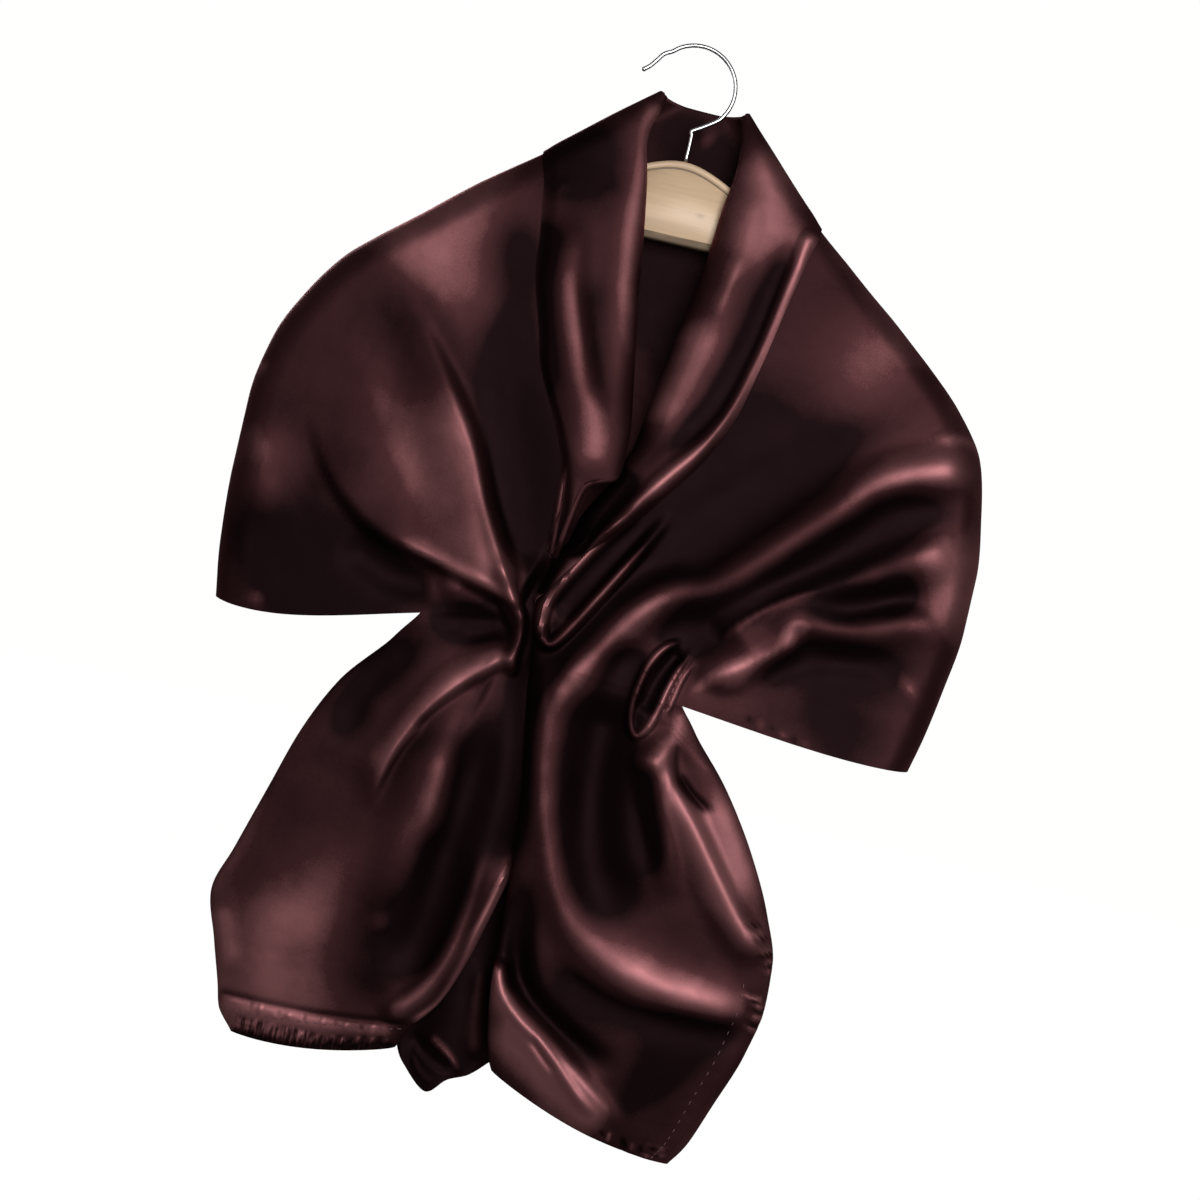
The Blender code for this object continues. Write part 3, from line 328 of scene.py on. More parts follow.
RIGHT_COLLAR_FOLDS = {
    "rolled_edge": (5.0, 0.60, 5.0, 6.0, 0.02, 0.05,
                    ((99, -108), (91, -162), (82, -212), (68, -255), (38, -298), (12, -333), (-6, -362),
                     (-17, -384), (-22, -400))),
    "crown": (4.0, 0.10, 13.0, 13.0, 0.2, 0.3, ((52, -80), (52, -150), (42, -220))),
    "neck_light": (0.5, 0.42, 20.0, 26.0, 0.2, 0.4, ((48, -50), (60, -90), (66, -130), (62, -170))),
    "streaks": (1.2, 0.28, 4.0, 5.0, 0.3, 0.3, ((56, -135), (51, -160), (47, -185))),
    "middle_light": (1.0, 0.45, 10.0, 12.0, 0.3, 0.3, ((44, -172), (40, -208), (32, -245), (22, -276))),
    "hole": (-4.0, -1.30, 10.0, 10.0, 0.15, 0.2, ((16, -292), (6, -318), (-5, -342), (-14, -362))),
    "wedge": (-2.0, -1.00, 4.0, 4.0, 0.2, 0.1, ((0, -330), (-12, -356), (-19, -376), (-22, -392))),
    "edge_shade": (-3.0, -0.50, 9.0, 9.0, 0.2, 0.2,
                   ((90, -108), (82, -150), (73, -200), (58, -245), (32, -286))),
}
# Many short creases fan out from the gathers: where they start, towards which side they
# run, how many there are, and their shortest and longest.
GATHERS = {
    # x, z, first direction, last direction, creases, shortest, longest, height
    "left_waist": (-34, -412, 150, 215, 5, 26, 70, 0.9),
    "left_waist_lower": (-38, -428, 222, 262, 4, 30, 80, 0.9),
    "right_waist": (92, -430, 8, 52, 5, 22, 60, 0.9),
    "right_waist_lower": (84, -456, 262, 312, 4, 22, 66, 0.9),
    "hairpin_foot": (-12, -424, 262, 300, 5, 24, 60, 0.9),
}
# Short puckers along a sewn edge: the line, how many, their slant and their length.
PUCKERS = {
    # line, puckers, slant in degrees, length, height
    "left_hem": (((-156, -715), (-120, -716), (-90, -713), (-60, -706)), 20, 246, 14.0, 0.8),
    "left_hem_top": (((-176, -702), (-120, -703), (-70, -700)), 12, 268, 9.0, 0.7),
    "right_side": (((163, -572), (176, -590), (182, -602)), 8, 205, 13.0, 1.4),
    "right_sweep_end": (((172, -618), (180, -628), (178, -642)), 8, 182, 15.0, 1.4),
    "right_foot": (((96, -733), (120, -738), (138, -736)), 8, 96, 12.0, 1.2),
    "right_cuff": (((128, -438), (150, -443), (168, -446)), 6, 104, 9.0, 1.0),
}

TAIL_ROWS = (
    # z, left, right, y
    (-454.0, -52.0, -28.0, -9.0),
    (-500.0, -54.0, -8.0, 5.0),
    (-560.0, -58.0, 14.0, 6.0),
    (-620.0, -62.0, 26.0, 4.0),
    (-670.0, -64.0, 26.0, 0.0),
    (-706.0, -54.0, 12.5, -3.0),
)
TAIL_FOOT = ((-54.0, -707.0), (-46.0, -722.0), (-27.0, -737.0),
             (-14.0, -726.0), (0.0, -720.0), (12.5, -707.0))
TAIL_FOLDS = {
    "foot_line": (1.4, 0.62, 2.2, 2.4, 0.2, 0.3, ((-33, -699), (-24, -704), (-14, -711), (-4, -721))),
    "second_line": (1.2, 0.16, 1.6, 1.6, 0.2, 0.2, ((-44, -708), (-30, -718), (-14, -724))),
    "third_line": (1.0, 0.14, 1.4, 1.6, 0.2, 0.3, ((-42, -716), (-32, -726), (-22, -731))),
    "shade": (-2.0, -0.40, 5.0, 5.0, 0.2, 0.2, ((-46, -700), (-32, -712), (-12, -722))),
    "fall": (2.0, 0.25, 6.0, 6.0, 0.2, 0.2, ((-8, -640), (-4, -680), (2, -712))),
}
TAIL_WAVE = 2.5
TAIL_WAVES = 1.5

INNER_ROUND, INNER_ROUND_SHARE = 12.0, 0.35
OUTER_ROUND, OUTER_ROUND_SHARE = 22.0, 0.6
BACK_ROUND, BACK_ROUND_SHARE = 18.0, 0.45
BACK_HEM_PARTING = 3.0
# t cubed times (1 - t) is largest at 3/4, where this makes it 1.
SAG_PEAK = 256.0 / 27.0

BODY_ROWS = 168
TURN_STEPS = 7
EDGE_STEPS = 11
WAIST_STEPS = 100
SLEEVE_STEPS = 34
BACK_STEPS = 58
END_ROWS = 170
# The waist gathers take in this share of each front's last rib, and of its first.
LEFT_WAIST = (0.50, 0.391)
RIGHT_WAIST = (0.50, 0.4022)
WAIST_BLEND_ROWS = 16
RIM_ANGLE = math.radians(50.0)
COLLAR_STEPS = 38
COLLAR_TOP_ROWS = 24
COLLAR_ROWS = 116
ROLL_STEPS = 8
COLLAR_LIFT = 5.0
COLLAR_NECK_LIFT = 2.2
COLLAR_EDGE_LIFT = 1.4
COLLAR_CROWN = 3.0
# The collar has its crown from this width on, its full lift this far in from its edge, and
# the higher of its two lifts from the shoulder's rows down.
COLLAR_CROWN_WIDTH = 40.0
COLLAR_EDGE_BAND = 11.0
COLLAR_RISE_START, COLLAR_RISE_ROWS = 1.4, 3.0
# Steps across the collar are closer in this band at its edge, and in its turn.
COLLAR_CLOSE_BAND, COLLAR_LEAST_WIDE_PART = 12.0, 0.6
COLLAR_TURN_SHARE = 0.5
BACK_COLLAR_SIDE = 2.0
BACK_COLLAR_DROP = 1.6
RIB_STEP = 36.0

HEM_BEHIND = 2.2
# What each hem covers of its end, as first, last and steps down and across, and where its
# stitches run.
LEFT_HEM_ROWS, LEFT_HEM_PLACES = (LAST_END_RIB - 0.02, 8.95, 16), (0.03, 0.97, 90)
RIGHT_HEM_ROWS, RIGHT_HEM_PLACES = (5.5, LAST_END_RIB - 0.05, 90), (0.907, 0.985, 14)
LEFT_STITCH_ROW, LEFT_STITCH_PLACES = 9.0, (0.05, 0.95)
RIGHT_STITCH_ROWS, RIGHT_STITCH_PLACE = (5.7, 9.85), 0.905
# The turned outer edges get this much painted light, so that they look as light as the flat cloth
# where they turn away from the lamps.
EDGE_PAINTED_LIGHT = 0.34
# The collar takes over this share of the painted light and shade of the cloth below it, and gets
# this much painted highlight along its rolled edge.
UNDER_COLLAR_SHARE = 0.3
ROLL_PAINTED_HIGHLIGHT = 0.12
ROLL_SMOOTHINGS = 60
# The inner layer between the two ends gets this much painted shade.
TAIL_PAINTED_SHADE = -0.30
TAIL_COLUMNS, TAIL_LINES = 65, 150
STITCH_LENGTH = 3.4
STITCH_WIDTH = 0.36
STITCH_IN_FRONT = 0.75
STITCH_WAY_STEP = 0.004

# A fold counts out to FOLD_REACH times its wider side. Its height falls off more steeply
# than its painted light and shade, which are also spread wider and never end sharply.
FOLD_REACH = 3.4
FOLD_STEEPNESS = 2.4
SHINE_STEEPNESS = 1.7
SHINE_SPREAD = 1.2
SHINE_FADE, LONGEST_SHINE_FADE = 1.5, 0.5
# Wide and low folds stray from their line, in waves of these lengths.
STRAY_SHARE = 0.3
STRAY_FROM_WIDTH = 6.0
STRAY_LESS_BY_HEIGHT = 3.0
STRAY_WAVES = (19.0, 23.0)
STRAY_PHASES = (9.0, 5.0)
CREASE_DRAW = 7

WOOD_CENTRE_X = 4.0
WOOD_TOP = -79.0
WOOD_BOTTOM = -135.0
WOOD_HALF_LENGTH = 204.0
ARM_SLOPE, ARM_CREST = 0.612, 25.0
UNDERSIDE_FLAT, UNDERSIDE_SLOPE, UNDERSIDE_CREST = 36.0, 0.56, 20.0
ARM_END = 9.0
WIRE_RADIUS = 1.5
TIP_RADIUS = 1.12 * WIRE_RADIUS
HOOK_RADIUS = 28.5
HOOK_CENTRE_X = -2.0
HOOK_STARTS_AT, HOOK_ENDS_AT, HOOK_STEPS = 134.0, -40.0, 18
HOOK_TIP = ((-38.0, -22.5), (-34.5, -19.5), (-31.0, -15.0), (-27.0, -9.5))
HOOK_BEND = ((11.5, -51.5), (4.6, -55.8), (3.1, -57.6))
STEM_TOP = -60.5
STEM_FOOT = -78.6

# Places on the board's outline, counted from its top, and the painted shade that darkens the wood
# there: the cut line's floor, and the cut-off lower edge with the underside.
GROOVE_COLUMNS, GROOVE_SHADE = (7, 8, 25, 26), -1.8
UNDERSIDE_COLUMNS, UNDERSIDE_SHADE = range(11, 23), -1.5
BOARD_ROUND = 2.4
GROOVE_DEPTH = 0.8
GROOVE_TOP_HALF, GROOVE_FLOOR_HALF = 0.8, 0.5
UNDER_CUT = 4.6
UNDER_CUT_STEP = 0.6
UNDER_CUT_IN, UNDERSIDE_IN = 0.5, 0.8
BOARD_SECTIONS, NOSE_SECTIONS = 121, 8

# The stage is in metres: the place that the camera looks at, and the width that it sees.
IMAGE_CENTRE = Vector((0.0144, -0.020, -0.3834))
FIELD = 0.8105
SENSOR = 36.0
ROOM_RADIUS = 6.0
FLOOR_HEIGHT = -0.95
STUDIO_LIGHTS = (
    # name, size, place, colour
    ("key", 1.35, (0.45, -1.75, 0.40), (1.0, 0.985, 0.97)),
    ("fill", 1.4, (-1.5, -1.2, 0.1), (1.0, 0.97, 0.97)),
    ("rear", 1.1, (-0.5, 1.7, 0.6), (1.0, 0.985, 0.97)),
)


def table_at(rows, at):
    """Every column of a table at the row numbers in at, smooth and without overshoot."""
    rows = np.asarray(rows, float)
    at = np.clip(np.asarray(at, float), 0.0, len(rows) - 1.0)
    step = np.diff(rows, axis=0)
    product = step[:-1] * step[1:]
    total = step[:-1] + step[1:]
    slope = np.zeros_like(rows)
    slope[1:-1] = np.where(product > 0.0, 2.0 * product / np.where(total == 0.0, 1.0, total), 0.0)
    slope[0] = step[0]
    slope[-1] = step[-1]
    low = np.minimum(at.astype(int), len(rows) - 2)
    u = (at - low)[..., None]
    return ((2 * u**3 - 3 * u**2 + 1) * rows[low] + (u**3 - 2 * u**2 + u) * slope[low]
            + (3 * u**2 - 2 * u**3) * rows[low + 1] + (u**3 - u**2) * slope[low + 1])


def smooth_line(points, steps=6):
    """A curve through a few points, as a list of short straight runs."""
    points = np.asarray(points, float)
    ends = np.vstack([2 * points[0] - points[1], points, 2 * points[-1] - points[-2]])
    u = np.linspace(0.0, 1.0, steps, endpoint=False)[:, None]
    runs = []
    for before, start, stop, after in zip(ends, ends[1:], ends[2:], ends[3:]):
        runs.append(0.5 * (2 * start + (stop - before) * u
                           + (2 * before - 5 * start + 4 * stop - after) * u**2
                           + (3 * start - before - 3 * stop + after) * u**3))
    return np.vstack(runs + [points[-1:]])


def ease(k):
    """Runs softly from 0 to 1 while k does."""
    k = np.clip(k, 0.0, 1.0)
    return k * k * (3.0 - 2.0 * k)


def folded(x, z, folds):
    """How far the folds stand out at each place, and the painted light and shade that they carry there."""
    height = np.zeros_like(x)
    light = np.zeros_like(x)
    for tall, pale, left, right, rise, fall, line in folds.values():
        run = smooth_line(line)
        wide = max(left, right)
        reach = FOLD_REACH * wide
        low, high = run.min(axis=0) - reach, run.max(axis=0) + reach
        near = (x > low[0]) & (x < high[0]) & (z > low[1]) & (z < high[1])
        if not near.any():
            continue
        stray = STRAY_SHARE * max(0.0, wide - STRAY_FROM_WIDTH - STRAY_LESS_BY_HEIGHT * abs(tall))
        near_x = x[near] + stray * np.sin(z[near] / STRAY_WAVES[0] + STRAY_PHASES[0] * pale)
        near_z = z[near] + stray * np.sin(x[near] / STRAY_WAVES[1] + STRAY_PHASES[1] * pale)
        best = np.full_like(near_x, np.inf)
        side = np.zeros_like(near_x)
        along = np.zeros_like(near_x)
        spans = len(run) - 1
        for number, (start, stop) in enumerate(zip(run, run[1:])):
            way = stop - start
            length = np.hypot(*way)
            k = ((near_x - start[0]) * way[0] + (near_z - start[1]) * way[1]) / length**2
            k = np.clip(k, 0.0, 1.0)
            apart = np.hypot(near_x - start[0] - k * way[0], near_z - start[1] - k * way[1])
            turn = way[0] * (near_z - start[1]) - way[1] * (near_x - start[0])
            nearer = apart < best
            best = np.where(nearer, apart, best)
            side = np.where(nearer, turn, side)
            along = np.where(nearer, (number + k) / spans, along)
        width = np.where(side > 0.0, left, right)
        height[near] += (tall * np.exp(-(best / width)**FOLD_STEEPNESS)
                         * ease(along / rise) * ease((1.0 - along) / fall))
        soft = min(LONGEST_SHINE_FADE, SHINE_FADE * wide / np.hypot(*np.diff(run, axis=0).T).sum())
        light[near] += (pale * np.exp(-(best / (SHINE_SPREAD * width))**SHINE_STEEPNESS)
                        * ease(along / max(rise, soft)) * ease((1.0 - along) / max(fall, soft)))
    return height, light


def small_creases():
    """The creases of every gather and the puckers of every sewn edge, as folds."""
    draw = np.random.default_rng(CREASE_DRAW)
    made = {}
    for name, (x, z, first, last, count, shortest, longest, height) in GATHERS.items():
        for number in range(count):
            turn = math.radians(first + (last - first) * (number + draw.uniform(-0.3, 0.3)) / (count - 1))
            length = draw.uniform(shortest, longest)
            bend = math.radians(draw.uniform(-16.0, 16.0))
            start = draw.uniform(4.0, 14.0)
            line = [(x + reach * math.cos(turn + bend * reach / length),
                     z + reach * math.sin(turn + bend * reach / length))
                    for reach in (start, start + 0.45 * length, start + length)]
            width = draw.uniform(2.4, 4.6)
            tall = height * draw.uniform(0.5, 1.0) * (1 if number % 2 else -0.8)
            # Each crease carries painted light on its crest and painted shade in its hollow, in step with its
            # height.
            made[f"{name}_{number}"] = (tall, 0.13 * tall, width, 1.2 * width, 0.3, 0.6, line)
    for name, (line, count, slant, length, height) in PUCKERS.items():
        run = smooth_line(line)
        for number in range(count):
            place = (number + draw.uniform(-0.3, 0.3)) / (count - 1) * (len(run) - 1)
            place = min(max(place, 0.0), len(run) - 1.001)
            spot = run[int(place)] + (run[int(place) + 1] - run[int(place)]) * (place % 1.0)
            turn = math.radians(slant + draw.uniform(-16.0, 16.0))
            half = 0.5 * length * draw.uniform(0.6, 1.15)
            way = np.array([math.cos(turn), math.sin(turn)]) * half
            width = draw.uniform(0.8, 1.5)
            tall = height * draw.uniform(0.6, 1.1) * (1 if number % 2 else -0.7)
            # Each pucker carries painted light on its crest and painted shade in its hollow, in step with its
            # height.
            made[f"{name}_{number}"] = (tall, 0.34 * tall, width, 1.3 * width, 0.3, 0.5,
                                        (spot - way, spot, spot + way))
    return made


def rounding(distance, size):
    """Runs from 0 at a rounded edge to 1 in from it by its size, along a quarter ellipse."""
    return np.sqrt(1.0 - (1.0 - np.clip(distance / size, 0.0, 1.0))**2)


def painted_edge_light(turned):
    """The painted light on the cloth where it turns: turned is 1 where flat, 0 at the edge."""
    return EDGE_PAINTED_LIGHT * np.sqrt(np.maximum(1 - turned, 0.0))


def turned_sizes(ribs, at):
    """The length of each rib and how much of it turns at its inner and outer edge."""
    rib = table_at(ribs, at)
    length = np.hypot(rib[..., 2] - rib[..., 0], rib[..., 3] - rib[..., 1])
    return (length, np.minimum(INNER_ROUND, INNER_ROUND_SHARE * length),
            np.minimum(OUTER_ROUND, OUTER_ROUND_SHARE * length))


def front(ribs, folds, at, t):
    """The middle of a front's cloth and its painted light and shade, at rows at and places t on each rib."""
    table = np.moveaxis(table_at(ribs, at), -1, 0)
    inner_x, inner_z, outer_x, outer_z, inner_y, mid_y, outer_y, bow = table[:8]
    sag = table[8] if len(table) > len(END_COLUMNS) else 0.0
    length, inner_size, outer_size = turned_sizes(ribs, at)
    x = inner_x + t * (outer_x - inner_x)
    z = inner_z + t * (outer_z - inner_z) + bow * 4 * t * (1 - t) + sag * SAG_PEAK * t**3 * (1 - t)
    inner = rounding(t * length, inner_size)
    outer = rounding((1 - t) * length, outer_size)
    y = mid_y + (inner_y - mid_y) * (1 - inner) + (outer_y - mid_y) * (1 - outer)
    hold = outer if len(table) > len(END_COLUMNS) else 1.0
    height, light = folded(x, z, folds)
    return np.stack([x, y - height * hold, z], axis=-1), light + painted_edge_light(outer)


def back(at, t):
    """The middle of the back's cloth and its painted light and shade, left sleeve line to right sleeve line.
    """
    rib, depth, arch = np.array(BACK_ROWS).T
    left = table_at(LEFT_RIBS, at)[..., 2:4]
    right = table_at(RIGHT_RIBS, at)[..., 2:4]
    depth = np.interp(at, rib, depth)
    arch = np.interp(at, rib, arch)
    span = right[..., 0] - left[..., 0]
    x = left[..., 0] + t * span
    z = left[..., 1] + t * (right[..., 1] - left[..., 1]) + arch * 4 * t * (1 - t)
    size = np.minimum(BACK_ROUND, BACK_ROUND_SHARE * span)
    turned = rounding(t * span, size) * rounding((1 - t) * span, size)
    corner = BACK_HEM_PARTING * ease(at - (HEM_RIB - 1.0)) * (1 - turned)
    height, light = folded(x, z, BACK_FOLDS)
    y = depth * turned + height * turned + corner
    return np.stack([x, y, z], axis=-1), light + painted_edge_light(turned)


def across(length, first_size, last_size, first_steps, steps, last_steps):
    """Places across each rib: even turns round its two edges, and even steps between."""
    rise = 1.0 - np.cos(np.linspace(0.0, math.pi / 2, first_steps + 1))
    fall = 1.0 - np.cos(np.linspace(math.pi / 2, 0.0, last_steps + 1))
    start = (first_size / length)[:, None]
    stop = 1.0 - (last_size / length)[:, None]
    middle = start + (stop - start) * np.linspace(0.0, 1.0, steps + 1)[None, :]
    return np.concatenate([start * rise[None, :-1], middle, 1.0 - (1.0 - stop) * fall[None, 1:]], axis=1)


def end_places(ribs, at):
    """Places across an end's ribs, closer together at its turned edges."""
    length, inner_size, outer_size = turned_sizes(ribs, at)
    return across(length, inner_size, outer_size, TURN_STEPS, WAIST_STEPS - 2 * TURN_STEPS, TURN_STEPS)


def front_places(ribs, at, waist):
    """Places across a front's ribs: those that the waist takes in, then those of the sleeve."""
    length, inner_size, outer_size = turned_sizes(ribs, at)
    share = waist[0] + (waist[1] - waist[0]) * ease(at / HEM_RIB)
    split = np.clip(share, inner_size / length + 0.02, 1.0 - outer_size / length - 0.02)
    none = np.zeros_like(length)
    taken = across(length * split, inner_size, none, TURN_STEPS, WAIST_STEPS - TURN_STEPS, 0)
    rest = across(length * (1.0 - split), none, outer_size, 0, SLEEVE_STEPS, EDGE_STEPS)
    split = split[:, None]
    return np.concatenate([taken * split, split + rest[:, 1:] * (1.0 - split)], axis=1)


def back_places(at):
    """Places across the back's ribs, closer together at its turned edges."""
    span = table_at(RIGHT_RIBS, at)[:, 2] - table_at(LEFT_RIBS, at)[:, 2]
    size = np.minimum(BACK_ROUND, BACK_ROUND_SHARE * span)
    return across(span, size, size, EDGE_STEPS, BACK_STEPS, EDGE_STEPS)


def grid_normals(points):
    """Unit normals of a grid of points, turned to point away from the hanger's plane."""
    down = np.gradient(points, axis=0)
    over = np.gradient(points, axis=1)
    out = np.cross(over, down)
    out /= np.maximum(np.linalg.norm(out, axis=-1, keepdims=True), 1e-9)
    return out * np.sign((out[..., 1] * points[..., 1]).sum())


def travelled(points, axis):
    """The way along the cloth from its first row or column, in metres."""
    step = np.linalg.norm(np.diff(points, axis=axis), axis=-1)
    start = np.zeros_like(np.take(step, [0], axis=axis))
    return np.concatenate([start, np.cumsum(step, axis=axis)], axis=axis) * MM


def grid_mesh(name, points, light):
    """A mesh with one vertex for each point of a grid, with its painted light and shade and its own UV map.
    """
    rows, columns = points.shape[:2]
    grid = bmesh.new()
    bmesh.ops.create_grid(grid, x_segments=rows - 1, y_segments=columns - 1, size=1.0)
    mesh = bpy.data.meshes.new(name)
    grid.to_mesh(mesh)
    grid.free()
    place = np.zeros(len(mesh.vertices) * 3, np.float32)
    mesh.vertices.foreach_get("co", place)
    place = place.reshape(-1, 3)
    row = np.rint((place[:, 0] + 1) / 2 * (rows - 1)).astype(int)
    column = np.rint((place[:, 1] + 1) / 2 * (columns - 1)).astype(int)
    mesh.vertices.foreach_set("co", (points[row, column] * MM).astype(np.float32).ravel())
    paleness = mesh.attributes.new("paleness", "FLOAT", "POINT")
    paleness.data.foreach_set("value", light[row, column].astype(np.float32))
    corners = np.zeros(len(mesh.loops), np.int32)
    mesh.loops.foreach_get("vertex_index", corners)
    way = np.stack([travelled(points, 1)[row, column], travelled(points, 0)[row, column]], axis=-1)
    cloth_map = mesh.uv_layers.new(name="cloth")
    cloth_map.data.foreach_set("uv", way[corners].astype(np.float32).ravel())
    return mesh


def sheet_piece(name, grids, thickness, finish):
    """One thin shell of cloth from grids of points whose shared edges are merged."""
    joined = bmesh.new()
    for number, (points, light) in enumerate(grids):
        mesh = grid_mesh(f"{name}_{number}", points, light)
        joined.from_mesh(mesh)
        bpy.data.meshes.remove(mesh)
    bmesh.ops.remove_doubles(joined, verts=joined.verts, dist=0.02 * MM)
    bmesh.ops.recalc_face_normals(joined, faces=joined.faces)
    mesh = bpy.data.meshes.new(name)
    joined.to_mesh(mesh)
    joined.free()
    piece = add_piece(name, mesh, finish)
    shell = piece.modifiers.new("shell", "SOLIDIFY")
    shell.thickness = thickness
    shell.offset = 0.0
    walled = bpy.data.meshes.new_from_object(piece.evaluated_get(bpy.context.evaluated_depsgraph_get()))
    piece.modifiers.clear()
    piece.data = walled
    bpy.data.meshes.remove(mesh)
    walled.name = name
    walled.shade_smooth()
    walled.set_sharp_from_angle(angle=RIM_ANGLE)
    return piece


def in_order(made):
    """Sorts a bmesh by place, since new spheres list their parts in another order each run."""
    for parts, place in ((made.verts, lambda corner: corner.co),
                         (made.edges, lambda edge: edge.verts[0].co + edge.verts[1].co),
                         (made.faces, lambda face: face.calc_center_median())):
        ranks = {part: rank for rank, part in
                 enumerate(sorted(parts, key=lambda part: tuple(place(part))))}
        parts.sort(key=ranks.get)


def add_piece(name, mesh, finish):
    """Puts a mesh in the scene as a piece with this finish."""
    piece = bpy.data.objects.new(name, mesh)
    bpy.context.scene.collection.objects.link(piece)
    mesh.materials.append(finish)
    return piece


class Wire:
    """A shader socket that can be used in sums, so that 1 - mask adds its Math nodes."""

    def __init__(self, tree, socket):
        self.tree = tree
        self.socket = socket

    def maths(self, operation, first, second):
        """Adds a Math node and gives its result."""
        return self.tree.add("ShaderNodeMath", {"operation": operation}, {0: first, 1: second})

    def __add__(self, other):
        return self.maths("ADD", self, other)

    def __radd__(self, other):
        return self.maths("ADD", other, self)

    def __sub__(self, other):
        return self.maths("SUBTRACT", self, other)

    def __rsub__(self, other):
        return self.maths("SUBTRACT", other, self)

    def __mul__(self, other):
        return self.maths("MULTIPLY", self, other)

    def __rmul__(self, other):
        return self.maths("MULTIPLY", other, self)


class Finish:
    """A material with one Principled shader, and the nodes that feed it."""

    def __init__(self, name, **constants):
        self.material = bpy.data.materials.new(name)
        self.material.use_nodes = True
        self.nodes = self.material.node_tree.nodes
        self.shader = self.nodes["Principled BSDF"]
        for socket, value in constants.items():
            self.shader.inputs[socket.replace("_", " ")].default_value = value

    def add(self, kind, settings, values, output=0):
        """Adds a node: its settings first, then the values or wires of its sockets."""
        node = self.nodes.new(kind)
        for key, value in settings.items():
            if key == "stops":
                ramp = node.color_ramp.elements
                while len(ramp) < len(value):
                    ramp.new(1.0)
                for stop, (position, colour) in zip(ramp, value):
                    stop.position = position
                    stop.color = (*colour, 1.0)
            else:
                setattr(node, key, value)
        for key, value in values.items():
            if isinstance(value, Wire):
                self.material.node_tree.links.new(value.socket, node.inputs[key])
            else:
                node.inputs[key].default_value = value
        return Wire(self, node.outputs[output])

    def noise(self, vector, scale, detail=2.0, roughness=0.5):
        """Adds an even noise of this scale."""
        return self.add("ShaderNodeTexNoise", {}, {"Vector": vector, "Scale": scale, "Detail": detail,
                                                   "Roughness": roughness})

    def clamp(self, value):
        """Keeps a value between 0 and 1."""
        return self.add("ShaderNodeClamp", {}, {"Value": value, "Min": 0.0, "Max": 1.0})

    def feed(self, **wires):
        """Links wires to the shader's sockets of the same names."""
        for socket, wire in wires.items():
            self.material.node_tree.links.new(wire.socket, self.shader.inputs[socket.replace("_", " ")])

    def bump(self, height, strength, distance):
        """Raises the surface in the shader by this height."""
        self.feed(Normal=self.add("ShaderNodeBump", {}, {"Height": height, "Strength": strength,
                                                         "Distance": distance}))


def satin_finish(name, deep, middle, pale, roughness):
    """Heavy satin: painted highlights where it stands out and painted shade in its hollows, soft and slightly
    uneven, with a fine weave.
    """
    satin = Finish(name, Metallic=0.88, Specular_Tint=(1.0, 0.6, 0.62, 1.0))
    place = satin.add("ShaderNodeTexCoord", {}, {}, "Object")
    lie = satin.add("ShaderNodeUVMap", {"uv_map": "cloth"}, {})
    paleness = satin.add("ShaderNodeAttribute", {"attribute_name": "paleness"}, {}, "Fac")
    clouds = satin.noise(place, 14.0, 4.0, 0.55)
    crumple = satin.noise(place, 55.0, 2.0)
    weave = satin.add("ShaderNodeMapping", {}, {"Vector": lie, "Scale": (2600.0, 240.0, 1.0)})
    threads = satin.noise(weave, 1.0, 1.0)
    grain = satin.noise(place, 900.0, 1.0)
    drift = satin.noise(place, 24.0, 2.0)
    # tone is the painted light and shade of the folds, made uneven by drift, plus random clouds, threads and
    # grain.
    tone = satin.clamp(0.235 + paleness * (0.62 + drift * 1.2) + (clouds - 0.5) * 0.44
                       + (threads - 0.5) * 0.06 + (grain - 0.5) * 0.12)
    x = satin.add("ShaderNodeSeparateXYZ", {}, {"Vector": place}, "X")
    z = satin.add("ShaderNodeSeparateXYZ", {}, {"Vector": place}, "Z")
    # Along the left hem the puckers are painted as alternating light and shade and the hem gets painted
    # shade; the puckers also raise the bump.
    at_hem = (satin.clamp((-0.7085 - z) * 260.0) * satin.clamp((-0.050 - x) * 80.0)
              * satin.clamp((0.172 + x) * 60.0))
    slanted = satin.add("ShaderNodeMapping", {}, {"Vector": place, "Rotation": (0.0, math.radians(24.0), 0.0),
                                                  "Scale": (430.0, 1.0, 60.0)})
    puckers = (satin.noise(slanted, 1.0, 2.0, 0.6) - 0.5) * at_hem
    tone = satin.clamp(tone + puckers * 2.4 - at_hem * 0.10)
    # The ramp turns tone into colour: deep where the painted shade is strongest, pale where the painted
    # highlights are.
    stops = ((0.0, deep), (0.45, middle), (1.0, pale))
    colour = satin.add("ShaderNodeValToRGB", {"stops": stops}, {"Fac": tone})
    satin.feed(Base_Color=colour, Roughness=roughness + (crumple - 0.5) * 0.10 - (tone - 0.5) * 0.06)
    satin.bump(crumple * 0.8 + threads * 0.10 + clouds * 1.2 + puckers * 1.5, 0.30, 0.0016)
    return satin.material


